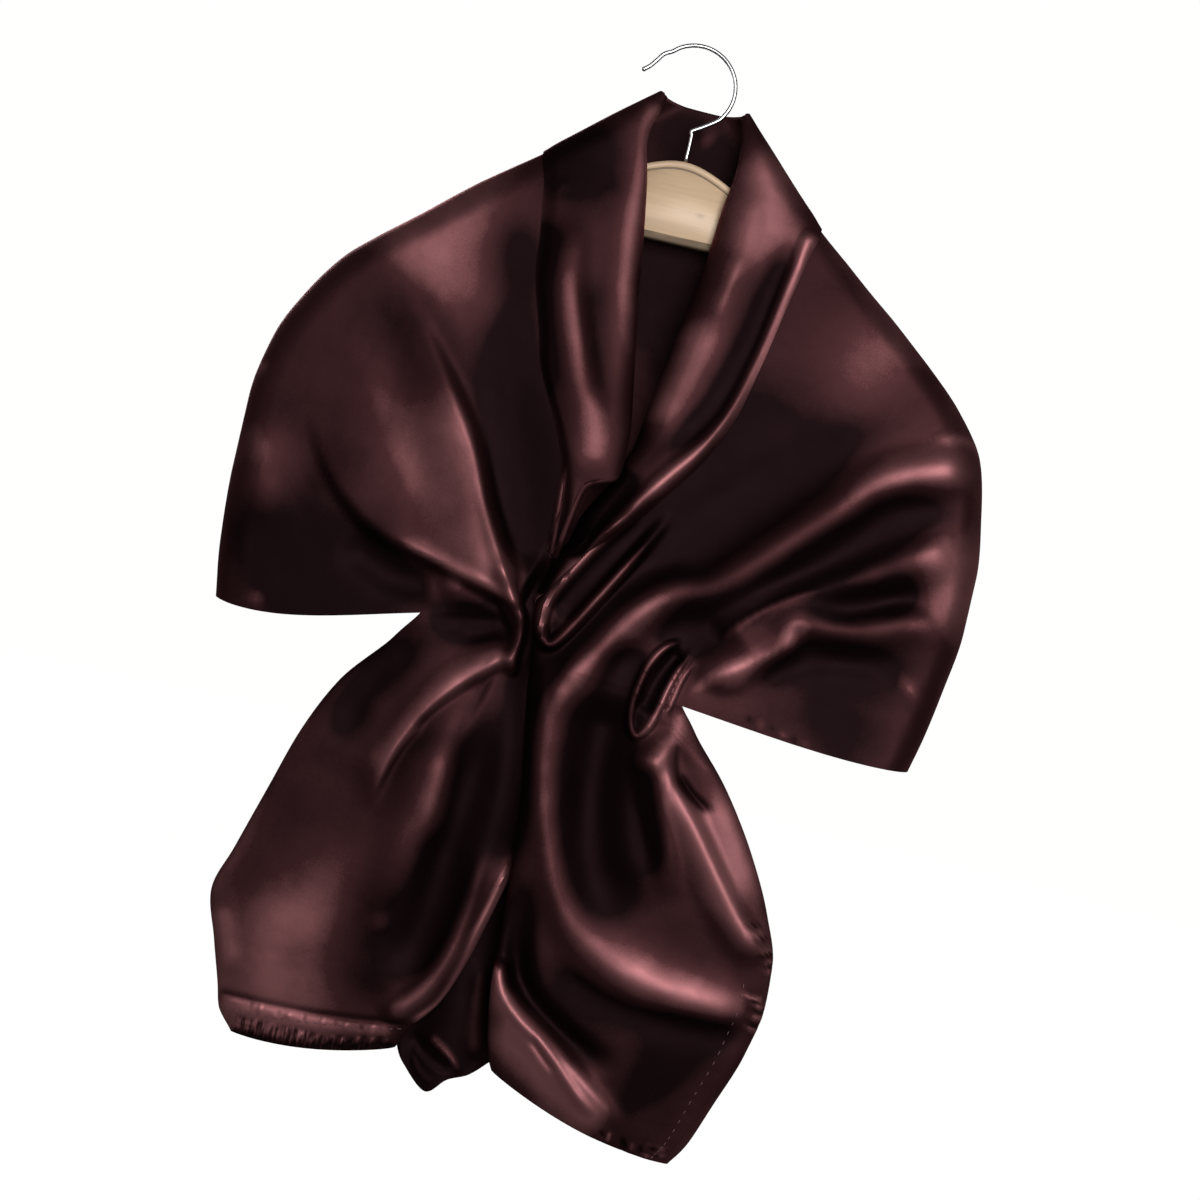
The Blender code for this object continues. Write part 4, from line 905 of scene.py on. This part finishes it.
def wood_finish(settings):
    """Pale oiled wood: long grain, one knot, and painted shade where a piece says so."""
    wood = Finish("shawl_wood", Coat_Weight=0.15, Coat_Roughness=0.3)
    place = wood.add("ShaderNodeTexCoord", {}, {}, "Object")
    grain_place = wood.add("ShaderNodeMapping", {}, {"Vector": place, "Location": (0.0, 0.0, 0.113),
                                                     "Rotation": (0.0, math.radians(-7.0), 0.0),
                                                     "Scale": (9.0, 30.0, 120.0)})
    grain = wood.noise(grain_place, 1.0, 3.0, 0.6)
    veins = wood.noise(grain_place, 4.0, 2.0, 0.7)
    broad = wood.noise(place, 18.0, 2.0)
    knot_place = wood.add("ShaderNodeMapping", {}, {"Vector": place, "Location": (-0.022, 0.0, 0.192),
                                                    "Scale": (1.0, 0.0, 1.7)})
    from_knot = wood.add("ShaderNodeVectorMath", {"operation": "LENGTH"}, {0: knot_place}, "Value")
    knot_near = wood.clamp(1.0 - from_knot * 240.0)
    shade = wood.add("ShaderNodeAttribute", {"attribute_name": "paleness"}, {}, "Fac")
    tone = wood.clamp(0.36 - shade * 0.55 + (grain - 0.5) * 0.8 + (veins - 0.5) * 0.35
                      + (broad - 0.5) * 0.6 + knot_near * 0.60)
    # The darker stops, deep and cut, are reached by the painted shade of the cut line and the underside, and
    # by the grain and the knot.
    deep = tuple(0.72 * part for part in settings.wood_colour)
    cut = tuple(0.26 * part for part in settings.wood_colour)
    stops = ((0.15, tuple(settings.wood_colour)), (0.75, deep), (1.0, cut))
    colour = wood.add("ShaderNodeValToRGB", {"stops": stops}, {"Fac": tone})
    wood.feed(Base_Color=colour, Roughness=0.42 + (grain - 0.5) * 0.2)
    wood.bump(grain * 0.5 + veins * 0.5, 0.15, 0.0004)
    return wood.material


def steel_finish(settings):
    """Polished steel, slightly uneven from handling."""
    steel = Finish("shawl_steel", Metallic=1.0)
    place = steel.add("ShaderNodeTexCoord", {}, {}, "Object")
    handled = steel.noise(place, 160.0, 3.0)
    dull = tuple(0.86 * part for part in settings.steel_colour)
    stops = ((0.3, dull), (0.7, tuple(settings.steel_colour)))
    colour = steel.add("ShaderNodeValToRGB", {"stops": stops}, {"Fac": handled})
    steel.feed(Base_Color=colour, Roughness=0.13 + handled * 0.10)
    return steel.material


class ShawlClothSettings(bpy.types.PropertyGroup):
    """How thick the satin is, and its colours."""
    thickness: bpy.props.FloatProperty(
        name="Thickness", description="Thickness of the satin",
        default=0.0009, min=0.0002, unit="LENGTH")
    # deep is the colour of the satin's painted shade in its hollows, and pale that of its painted highlights
    # where it stands out.
    deep: bpy.props.FloatVectorProperty(
        name="Deep colour", description="Satin in its hollows",
        default=(0.0055, 0.0018, 0.0024), size=3, subtype="COLOR")
    middle: bpy.props.FloatVectorProperty(
        name="Colour", description="Satin where it lies flat",
        default=(0.050, 0.0170, 0.0190), size=3, subtype="COLOR")
    pale: bpy.props.FloatVectorProperty(
        name="Pale colour", description="Satin where it stands out",
        default=(0.302, 0.123, 0.131), size=3, subtype="COLOR")
    roughness: bpy.props.FloatProperty(
        name="Roughness", description="How soft the satin's shine is",
        default=0.55, min=0.0, max=1.0, subtype="FACTOR")
    stitches: bpy.props.IntProperty(
        name="Stitches", description="Stitches shown on each hem", default=22, min=4, max=80)


class ShawlHangerSettings(bpy.types.PropertyGroup):
    """The board, its cut line, and the hanger's colours."""
    thickness: bpy.props.FloatProperty(
        name="Board", description="Thickness of the wooden board",
        default=0.012, min=0.004, unit="LENGTH")
    groove_drop: bpy.props.FloatProperty(
        name="Groove below the top", description="Distance of the cut line from the board's top edge",
        default=0.0056, min=0.002, unit="LENGTH")
    wood_colour: bpy.props.FloatVectorProperty(
        name="Wood", description="Colour of the pale wood",
        default=(0.70, 0.50, 0.325), size=3, subtype="COLOR")
    steel_colour: bpy.props.FloatVectorProperty(
        name="Steel", description="Colour of the hook's polished steel",
        default=(0.72, 0.73, 0.75), size=3, subtype="COLOR")


class ShawlStageSettings(bpy.types.PropertyGroup):
    """The studio's lights and the camera's distance."""
    key: bpy.props.FloatProperty(
        name="Key light", description="Power of the large soft light in front",
        default=30.0, min=0.0, unit="POWER")
    fill: bpy.props.FloatProperty(
        name="Fill light", description="Power of the weak light on the left",
        default=3.0, min=0.0, unit="POWER")
    rear: bpy.props.FloatProperty(
        name="Rear light", description="Power of the soft light behind", default=16.0, min=0.0, unit="POWER")
    ambient: bpy.props.FloatProperty(
        name="Ambient", description="Strength of the even light from all round",
        default=0.12, min=0.0, max=2.0)
    roll: bpy.props.FloatProperty(
        name="Camera roll", description="Turn of the camera about its line of sight",
        default=math.radians(13.0), subtype="ANGLE")
    distance: bpy.props.FloatProperty(
        name="Camera distance", description="Distance of the camera from the shawl",
        default=1.5, min=0.5, unit="LENGTH")


class SHAWL_OT_cloth(bpy.types.Operator):
    """Adds the back, and the two sides from the shoulder through the waist's gather to the end"""
    bl_idname = "shawl.cloth"
    bl_label = "Cloth"

    def execute(self, context):
        at = np.linspace(0.0, HEM_RIB, BODY_ROWS + 1)
        end_at = np.linspace(0.0, LAST_END_RIB, END_ROWS + 1)
        creases = small_creases()
        for name, nodes, ribs, end_ribs, folds, waist, cut in (
                ("left_side_cloth", ("left_front", "left_end"), LEFT_RIBS, LEFT_END_RIBS,
                 LEFT_FOLDS, LEFT_WAIST, (0.40, 0.37)),
                ("right_side_cloth", ("right_front", "right_end"), RIGHT_RIBS, RIGHT_END_RIBS,
                 RIGHT_FOLDS, RIGHT_WAIST, (0.40, 0.38))):
            folds = {**folds, **creases}
            places = front_places(ribs, at, waist)
            upper, light = front(ribs, folds, at[:, None] + 0 * places, places)
            taken = places[-1, :WAIST_STEPS + 1] / places[-1, WAIST_STEPS]
            kept = 1.0 - ease(np.arange(END_ROWS + 1) / WAIST_BLEND_ROWS)
            places = end_places(end_ribs, end_at)
            places += (taken - places[0]) * kept[:, None]
            lower, end_light = front(end_ribs, folds, end_at[:, None] + 0 * places, places)
            lower += (upper[-1, :WAIST_STEPS + 1] - lower[0]) * kept[:, None, None]
            end_light += (light[-1, :WAIST_STEPS + 1] - end_light[0]) * kept[:, None]
            piece = sheet_piece(name, [(upper, light), (lower, end_light)],
                                context.scene.shawl_cloth.thickness, satin(context))
            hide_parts(*nodes)
        places = back_places(at)
        grid = back(at[:, None] + 0 * places, places)
        piece = sheet_piece("back_cloth", [grid], context.scene.shawl_cloth.thickness, satin(context))
        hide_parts("back_panel")
        for name in ("left_side_cloth", "right_side_cloth", "back_cloth"):
            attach(bpy.data.objects[name], "root")
        return {"FINISHED"}


def satin(context):
    """The shawl's satin, made once."""
    settings = context.scene.shawl_cloth
    return bpy.data.materials.get("shawl_satin") or satin_finish(
        "shawl_satin", tuple(settings.deep), tuple(settings.middle), tuple(settings.pale), settings.roughness)


def half_turn(edge, laid, way):
    """Cloth rolled half round from edge to the place laid over it, bulging along way."""
    turns = np.radians(np.linspace(-90.0, 90.0, ROLL_STEPS + 1))
    middle = (edge + laid) / 2
    arm = (laid - edge) / 2
    reach = np.linalg.norm(arm, axis=-1, keepdims=True)
    return np.stack([middle + arm * math.sin(turn) + way * reach * math.cos(turn) for turn in turns], axis=1)


def collar_lift(to_edge, at):
    """How far the collar lies off the cloth below: less on the shoulders and at its edge."""
    down = ease((at - COLLAR_RISE_START) / COLLAR_RISE_ROWS)
    full = COLLAR_NECK_LIFT + (COLLAR_LIFT - COLLAR_NECK_LIFT) * down
    return COLLAR_EDGE_LIFT + (full - COLLAR_EDGE_LIFT) * ease(to_edge / COLLAR_EDGE_BAND)


def side_collar(ribs, folds, collar_folds, ends):
    """A front's collar: its base on the front, the cloth laid over it and its painted light and shade."""
    at = np.concatenate([np.linspace(0.0, BACK_COLLAR_SIDE, COLLAR_TOP_ROWS + 1),
                         np.linspace(BACK_COLLAR_SIDE, ends, COLLAR_ROWS + 1)[1:]])
    rib = table_at(ribs, at)
    length = np.hypot(rib[:, 2] - rib[:, 0], rib[:, 3] - rib[:, 1])
    width = np.minimum(rib[:, FRONT_COLUMNS.index("collar")], length)[:, None]
    _, inner_size, _ = turned_sizes(ribs, at)
    start = np.minimum(inner_size / width[:, 0], COLLAR_TURN_SHARE)[:, None]
    turn = 1.0 - np.cos(np.linspace(0.0, math.pi / 2, TURN_STEPS + 1))
    last_turn = 1.0 - np.cos(np.linspace(math.pi / 2, 0.0, EDGE_STEPS + 1))
    stop = np.maximum(1.0 - COLLAR_CLOSE_BAND / width, COLLAR_LEAST_WIDE_PART)
    fraction = np.concatenate([start * turn[None, :-1],
                               start + (stop - start) * np.linspace(0.0, 1.0, COLLAR_STEPS + 1)[None, :],
                               1.0 - (1.0 - stop) * last_turn[None, 1:]], axis=1)
    places = fraction * width / length[:, None]
    rows = at[:, None] + 0 * places
    base, under_light = front(ribs, folds, rows, places)
    out = grid_normals(front(ribs, {}, rows, places)[0])
    crown = COLLAR_CROWN * np.sin(math.pi * fraction) * ease(width / COLLAR_CROWN_WIDTH)
    extra, light = folded(base[..., 0], base[..., 2], collar_folds)
    past_shoulder = np.maximum(BACK_COLLAR_SIDE - at, 0.0)[:, None] * RIB_STEP
    lift = collar_lift((1.0 - fraction) * width + past_shoulder, rows)
    return base, base + out * (lift + crown + extra)[..., None], light + UNDER_COLLAR_SHARE * under_light


class SHAWL_OT_collar(bpy.types.Operator):
    """Adds the inner edge, rolled and turned back from one gather round the neck to the other"""
    bl_idname = "shawl.collar"
    bl_label = "Collar"

    def execute(self, context):
        left = side_collar(LEFT_RIBS, LEFT_FOLDS, LEFT_COLLAR_FOLDS, LEFT_COLLAR_ENDS)
        right = side_collar(RIGHT_RIBS, RIGHT_FOLDS, RIGHT_COLLAR_FOLDS, RIGHT_COLLAR_ENDS)
        fall = np.linspace(0.0, 1.0, COLLAR_TOP_ROWS + 1)[:, None]
        places = back_places(np.array([0.5]))[0][None, :]
        drop = BACK_COLLAR_SIDE + BACK_COLLAR_DROP * np.sin(math.pi * places)
        base, light = back(fall * drop, places + 0 * fall)
        out = grid_normals(base)
        laid = base + out * collar_lift((1.0 - fall) * drop * RIB_STEP, 0.0)[..., None]
        laid[:, 0] = left[1][:COLLAR_TOP_ROWS + 1, -1]
        laid[:, -1] = right[1][:COLLAR_TOP_ROWS + 1, -1]
        grids = [(left[1], left[2]), (laid, light), (right[1], right[2])]
        edge = np.concatenate([left[0][::-1, 0], left[0][0, 1:], base[0, 1:-1],
                               right[0][0, ::-1], right[0][1:, 0]])
        over = np.concatenate([left[1][::-1, 0], left[1][0, 1:], laid[0, 1:-1],
                               right[1][0, ::-1], right[1][1:, 0]])
        inward = np.concatenate([left[0][::-1, 0] - left[0][::-1, 2], left[0][0, 1:] * 0.0,
                                 base[0, 1:-1] - base[1, 1:-1],
                                 right[0][0, ::-1] * 0.0, right[0][1:, 0] - right[0][1:, 2]])
        inward /= np.maximum(np.linalg.norm(inward, axis=-1, keepdims=True), 1e-9)
        for _ in range(ROLL_SMOOTHINGS):
            inward[1:-1] = (inward[:-2] + 2 * inward[1:-1] + inward[2:]) / 4
        inward /= np.linalg.norm(inward, axis=-1, keepdims=True)
        rolled = half_turn(edge, over, inward)
        rolled_light = np.concatenate([left[2][::-1, 0], left[2][0, 1:], light[0, 1:-1], right[2][0, ::-1],
                                       right[2][1:, 0]])[:, None] + ROLL_PAINTED_HIGHLIGHT + 0 * rolled[..., 0]
        grids.append((rolled, rolled_light))
        piece = sheet_piece("shawl_collar", grids, context.scene.shawl_cloth.thickness, satin(context))
        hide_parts("left_collar", "right_collar", "back_collar")
        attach(piece, "root")
        return {"FINISHED"}


class SHAWL_OT_hems(bpy.types.Operator):
    """Adds the hems, turned up behind the two ends, and their stitches"""
    bl_idname = "shawl.hems"
    bl_label = "Hems and stitches"

    def execute(self, context):
        creases = small_creases()
        count = context.scene.shawl_cloth.stitches
        hems = (
            ("left_hem", "left_end_hem", LEFT_END_RIBS, {**LEFT_FOLDS, **creases},
             np.linspace(*LEFT_HEM_ROWS), np.linspace(*LEFT_HEM_PLACES), (0.017, 0.115)),
            ("right_hem", "right_end_hem", RIGHT_END_RIBS, {**RIGHT_FOLDS, **creases},
             np.linspace(*RIGHT_HEM_ROWS), np.linspace(*RIGHT_HEM_PLACES), (0.0125, 0.135)),
        )
        for name, node, ribs, folds, at, places, cut in hems:
            rows, columns = np.meshgrid(at, places, indexing="ij")
            points, light = front(ribs, folds, rows, columns)
            points[..., 1] += HEM_BEHIND
            piece = sheet_piece(name, [(points, light)], context.scene.shawl_cloth.thickness, satin(context))
            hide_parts(node)
            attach(piece, "root")
        thread = thread_finish()
        stitches = bmesh.new()
        for ribs, folds, at, places in (
                (LEFT_END_RIBS, hems[0][3], np.full(count, LEFT_STITCH_ROW),
                 np.linspace(*LEFT_STITCH_PLACES, count)),
                (RIGHT_END_RIBS, hems[1][3], np.linspace(*RIGHT_STITCH_ROWS, count),
                 np.full(count, RIGHT_STITCH_PLACE))):
            here = front(ribs, folds, at, places)[0]
            along = front(ribs, folds, at + (STITCH_WAY_STEP if at[0] != at[-1] else 0.0),
                          places + (STITCH_WAY_STEP if at[0] == at[-1] else 0.0))[0] - here
            for spot, way in zip(here, along):
                way = Vector(way).normalized()
                seat = Matrix.Translation(Vector((spot[0], spot[1] - STITCH_IN_FRONT, spot[2])) * MM)
                turn = Vector((1.0, 0.0, 0.0)).rotation_difference(way).to_matrix().to_4x4()
                shape = Matrix.Diagonal((STITCH_LENGTH / 2 * MM, STITCH_WIDTH * MM, STITCH_WIDTH * MM, 1.0))
                bmesh.ops.create_uvsphere(stitches, u_segments=8, v_segments=5, radius=1.0,
                                          matrix=seat @ turn @ shape)
        mesh = bpy.data.meshes.new("hem_stitches")
        in_order(stitches)
        stitches.to_mesh(mesh)
        stitches.free()
        mesh.shade_smooth()
        piece = add_piece("hem_stitches", mesh, thread)
        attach(piece, "root")
        return {"FINISHED"}


def thread_finish():
    """Twisted sewing thread, a little paler than the satin."""
    thread = Finish("shawl_thread", Metallic=0.0)
    place = thread.add("ShaderNodeTexCoord", {}, {}, "Object")
    twist = thread.noise(place, 900.0, 1.0)
    stops = ((0.2, (0.045, 0.016, 0.018)), (0.8, (0.17, 0.075, 0.08)))
    colour = thread.add("ShaderNodeValToRGB", {"stops": stops}, {"Fac": twist})
    thread.feed(Base_Color=colour, Roughness=0.45 + (twist - 0.5) * 0.2)
    return thread.material


class SHAWL_OT_tail(bpy.types.Operator):
    """Adds the inner layer of the left end, which shows between the two ends"""
    bl_idname = "shawl.tail"
    bl_label = "Tail"

    def execute(self, context):
        share = np.linspace(0.0, 1.0, TAIL_COLUMNS)
        last = len(TAIL_ROWS) - 1
        at = np.linspace(0.0, last, TAIL_LINES)[:, None]
        z, left, right, y = np.moveaxis(table_at(TAIL_ROWS, at + 0 * share[None, :]), -1, 0)
        foot = smooth_line(TAIL_FOOT)
        foot_x = TAIL_FOOT[0][0] + share * (TAIL_FOOT[-1][0] - TAIL_FOOT[0][0])
        foot_drop = np.interp(foot_x, foot[:, 0], foot[:, 1]) - TAIL_ROWS[-1][0]
        x = left + share * (right - left)
        z = z + foot_drop * ease(at - last + 1)
        height, light = folded(x, z, TAIL_FOLDS)
        y = y + TAIL_WAVE * np.sin(share * TAIL_WAVES * 2 * math.pi) * ease(at) - height
        piece = sheet_piece("tail_cloth", [(np.stack([x, y, z], axis=-1), light + TAIL_PAINTED_SHADE)],
                            context.scene.shawl_cloth.thickness, satin(context))
        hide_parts("tail")
        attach(piece, "root")
        return {"FINISHED"}


def arm_drop(distance, slope, crest):
    """How far the board's edge has dropped at this distance from its rounded middle."""
    return slope * (np.hypot(distance, crest) - crest)


def board_section(top, bottom, half, groove):
    """The outline of the board cut across, from the middle of its top round to the back."""
    flat = half - BOARD_ROUND
    corner = np.radians(np.linspace(90.0, 0.0, 6))
    low = np.radians(np.linspace(0.0, -90.0, 6))
    cut = top - groove
    front_side = [(-flat - BOARD_ROUND * math.cos(turn), top - BOARD_ROUND + BOARD_ROUND * math.sin(turn))
                  for turn in corner]
    front_side += [(-half, cut + GROOVE_TOP_HALF), (-half + GROOVE_DEPTH, cut + GROOVE_FLOOR_HALF),
                   (-half + GROOVE_DEPTH, cut - GROOVE_FLOOR_HALF), (-half, cut - GROOVE_TOP_HALF),
                   (-half, bottom + UNDER_CUT + UNDER_CUT_STEP), (-half + UNDER_CUT_IN, bottom + UNDER_CUT)]
    front_side += [(-flat - BOARD_ROUND * math.cos(turn) + UNDERSIDE_IN,
                    bottom + BOARD_ROUND + BOARD_ROUND * math.sin(turn)) for turn in low[1:]]
    return front_side + [(-y, z) for y, z in front_side[::-1]]


class SHAWL_OT_hanger(bpy.types.Operator):
    """Adds the hanger's wooden bar, with its rounded edges and the cut line below its top"""
    bl_idname = "shawl.hanger"
    bl_label = "Wooden bar"

    def execute(self, context):
        settings = context.scene.shawl_hanger
        half = settings.thickness / MM / 2
        straight = np.linspace(-1.0, 1.0, BOARD_SECTIONS) * (WOOD_HALF_LENGTH - ARM_END)
        nose = ARM_END * np.sin(np.radians(np.linspace(0.0, 88.0, NOSE_SECTIONS + 1)[1:]))
        distances = np.concatenate([straight[0] - nose[::-1], straight, straight[-1] + nose])
        sections = []
        for distance in distances:
            on_arm = np.clip(distance, straight[0], straight[-1])
            past = max(0.0, abs(on_arm) - UNDERSIDE_FLAT)
            top = WOOD_TOP - arm_drop(on_arm, ARM_SLOPE, ARM_CREST)
            bottom = WOOD_BOTTOM - arm_drop(past, UNDERSIDE_SLOPE, UNDERSIDE_CREST)
            close = math.sqrt(max(1.0 - ((abs(distance) - abs(on_arm)) / ARM_END)**2, 0.0))
            middle = (top + bottom) / 2
            outline = board_section(top, bottom, half, settings.groove_drop / MM)
            sections.append([(WOOD_CENTRE_X + distance, y * (0.35 + 0.65 * close),
                              middle + (z - middle) * close) for y, z in outline])
        points = np.array(sections)
        points = np.concatenate([points, points[:, :1]], axis=1)
        # Painted shade on the cut line's floor and on the underside.
        shade = np.zeros(points.shape[:2])
        for column in GROOVE_COLUMNS:
            shade[:, column] = GROOVE_SHADE
        for column in UNDERSIDE_COLUMNS:
            shade[:, column] = UNDERSIDE_SHADE
        mesh = grid_mesh("wooden_bar", points, shade)
        board = bmesh.new()
        board.from_mesh(mesh)
        bmesh.ops.remove_doubles(board, verts=board.verts, dist=0.005 * MM)
        rims = [edge for edge in board.edges if edge.is_boundary]
        bmesh.ops.holes_fill(board, edges=rims)
        bmesh.ops.recalc_face_normals(board, faces=board.faces)
        board.to_mesh(mesh)
        board.free()
        mesh.shade_smooth()
        piece = add_piece("wooden_bar", mesh, wood_finish(settings))
        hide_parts("hanger_bar")
        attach(piece, "root")
        return {"FINISHED"}


def hook_line():
    """The wire's middle line, from its free tip over the top and down to the wood."""
    centre_z = WIRE_RADIUS - HOOK_RADIUS
    points = list(HOOK_TIP)
    for turn in np.radians(np.linspace(HOOK_STARTS_AT, HOOK_ENDS_AT, HOOK_STEPS)):
        points.append((HOOK_CENTRE_X + HOOK_RADIUS * math.cos(turn), centre_z + HOOK_RADIUS * math.sin(turn)))
    return points + list(HOOK_BEND) + [(WOOD_CENTRE_X, STEM_TOP), (WOOD_CENTRE_X, STEM_FOOT)]


class SHAWL_OT_hook(bpy.types.Operator):
    """Adds the hook: one polished wire with a turned tip"""
    bl_idname = "shawl.hook"
    bl_label = "Hook"

    def execute(self, context):
        line = smooth_line(hook_line(), 5)
        curve = bpy.data.curves.new("hook_wire", "CURVE")
        curve.dimensions = "3D"
        curve.bevel_depth = WIRE_RADIUS * MM
        curve.bevel_resolution = 6
        curve.use_fill_caps = True
        spline = curve.splines.new("POLY")
        spline.points.add(len(line) - 1)
        for point, (x, z) in zip(spline.points, line):
            point.co = (x * MM, 0.0, z * MM, 1.0)
        pattern = bpy.data.objects.new("hook_pattern", curve)
        bpy.context.scene.collection.objects.link(pattern)
        mesh = bpy.data.meshes.new_from_object(pattern.evaluated_get(context.evaluated_depsgraph_get()))
        bpy.data.objects.remove(pattern)
        wire = bmesh.new()
        wire.from_mesh(mesh)
        bmesh.ops.remove_doubles(wire, verts=wire.verts, dist=0.01 * MM)
        tip_x, tip_z = HOOK_TIP[0]
        ball = Matrix.Translation(Vector((tip_x, 0.0, tip_z)) * MM)
        bmesh.ops.recalc_face_normals(wire, faces=wire.faces)
        bmesh.ops.create_uvsphere(wire, u_segments=20, v_segments=12, radius=TIP_RADIUS * MM, matrix=ball)
        in_order(wire)
        wire.to_mesh(mesh)
        wire.free()
        mesh.shade_smooth()
        mesh.name = "hook_wire"
        piece = add_piece("hook_wire", mesh, steel_finish(context.scene.shawl_hanger))
        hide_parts("hook")
        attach(piece, "root")
        return {"FINISHED"}


def area_light(name, power, size, place, colour):
    """Adds a round soft light that shines at the middle of the image."""
    lamp = bpy.data.lights.new(name, "AREA")
    lamp.energy = power
    lamp.shape = "DISK"
    lamp.size = size
    lamp.color = colour
    made = bpy.data.objects.new(name, lamp)
    made.location = IMAGE_CENTRE + Vector(place)
    made.rotation_euler = (-Vector(place)).to_track_quat("-Z", "Y").to_euler()
    bpy.context.scene.collection.objects.link(made)


class SHAWL_OT_stage(bpy.types.Operator):
    """Adds the pale studio, its soft lights and the camera"""
    bl_idname = "shawl.stage"
    bl_label = "Studio"

    def execute(self, context):
        settings = context.scene.shawl_stage
        room = bmesh.new()
        bmesh.ops.create_uvsphere(room, u_segments=48, v_segments=24, radius=ROOM_RADIUS)
        for vertex in room.verts:
            vertex.co.z = max(vertex.co.z, FLOOR_HEIGHT)
        bmesh.ops.reverse_faces(room, faces=room.faces)
        mesh = bpy.data.meshes.new("studio")
        in_order(room)
        room.to_mesh(mesh)
        room.free()
        mesh.shade_smooth()
        paper = Finish("shawl_studio", Base_Color=(0.0, 0.0, 0.0, 1.0), Roughness=1.0,
                       Emission_Color=(1.0, 0.998, 0.993, 1.0), Emission_Strength=1.0)
        studio = add_piece("studio", mesh, paper.material)
        studio.visible_diffuse = studio.visible_glossy = studio.visible_shadow = False
        for name, size, place, colour in STUDIO_LIGHTS:
            area_light(name, getattr(settings, name), size, place, colour)
        world = bpy.data.worlds.new("shawl_world")
        world.use_nodes = True
        sky = world.node_tree.nodes["Background"]
        sky.inputs["Color"].default_value = (1.0, 0.99, 0.985, 1.0)
        sky.inputs["Strength"].default_value = settings.ambient
        context.scene.world = world
        context.scene.view_settings.view_transform = "Standard"
        camera = bpy.data.cameras.new("camera")
        camera.sensor_width = SENSOR
        camera.lens = SENSOR * settings.distance / FIELD
        made = bpy.data.objects.new("camera", camera)
        right = Vector((math.cos(settings.roll), 0.0, math.sin(settings.roll)))
        up = Vector((-math.sin(settings.roll), 0.0, math.cos(settings.roll)))
        away = Vector((0.0, -1.0, 0.0))
        made.matrix_world = (Matrix.Translation(IMAGE_CENTRE + away * settings.distance)
                             @ Matrix((right, up, away)).transposed().to_4x4())
        context.scene.collection.objects.link(made)
        context.scene.camera = made
        return {"FINISHED"}


class SHAWL_PT_panel(bpy.types.Panel):
    """The settings, each with the operators that use them."""
    bl_idname = "SHAWL_PT_panel"
    bl_label = "Evening shawl"
    bl_space_type = "VIEW_3D"
    bl_region_type = "UI"
    bl_category = "Shawl"

    def draw(self, context):
        layout = self.layout
        for group, operators in (("shawl_cloth", ("cloth", "collar", "hems", "tail")),
                                 ("shawl_hanger", ("hanger", "hook")),
                                 ("shawl_stage", ("stage",))):
            box = layout.box()
            settings = getattr(context.scene, group)
            for key in settings.__annotations__:
                box.prop(settings, key)
            for operator in operators:
                box.operator(f"shawl.{operator}")


CLASSES = (
    ShawlClothSettings, ShawlHangerSettings, ShawlStageSettings,
    SHAWL_OT_cloth, SHAWL_OT_collar, SHAWL_OT_hems, SHAWL_OT_tail,
    SHAWL_OT_hanger, SHAWL_OT_hook, SHAWL_OT_stage, SHAWL_PT_panel,
)


def register():
    """Makes the settings, the operators and the panel known to Blender."""
    for made in CLASSES:
        bpy.utils.register_class(made)
    bpy.types.Scene.shawl_cloth = bpy.props.PointerProperty(type=ShawlClothSettings)
    bpy.types.Scene.shawl_hanger = bpy.props.PointerProperty(type=ShawlHangerSettings)
    bpy.types.Scene.shawl_stage = bpy.props.PointerProperty(type=ShawlStageSettings)


def unregister():
    """Takes the panel, the operators and the settings out again."""
    del bpy.types.Scene.shawl_cloth, bpy.types.Scene.shawl_hanger, bpy.types.Scene.shawl_stage
    for made in reversed(CLASSES):
        bpy.utils.unregister_class(made)


def main():
    """Builds every piece in order."""
    register()
    bpy.ops.shawl.cloth()
    bpy.ops.shawl.collar()
    bpy.ops.shawl.hems()
    bpy.ops.shawl.tail()
    bpy.ops.shawl.hanger()
    bpy.ops.shawl.hook()
    bpy.ops.shawl.stage()


if __name__ == "__main__":
    main()
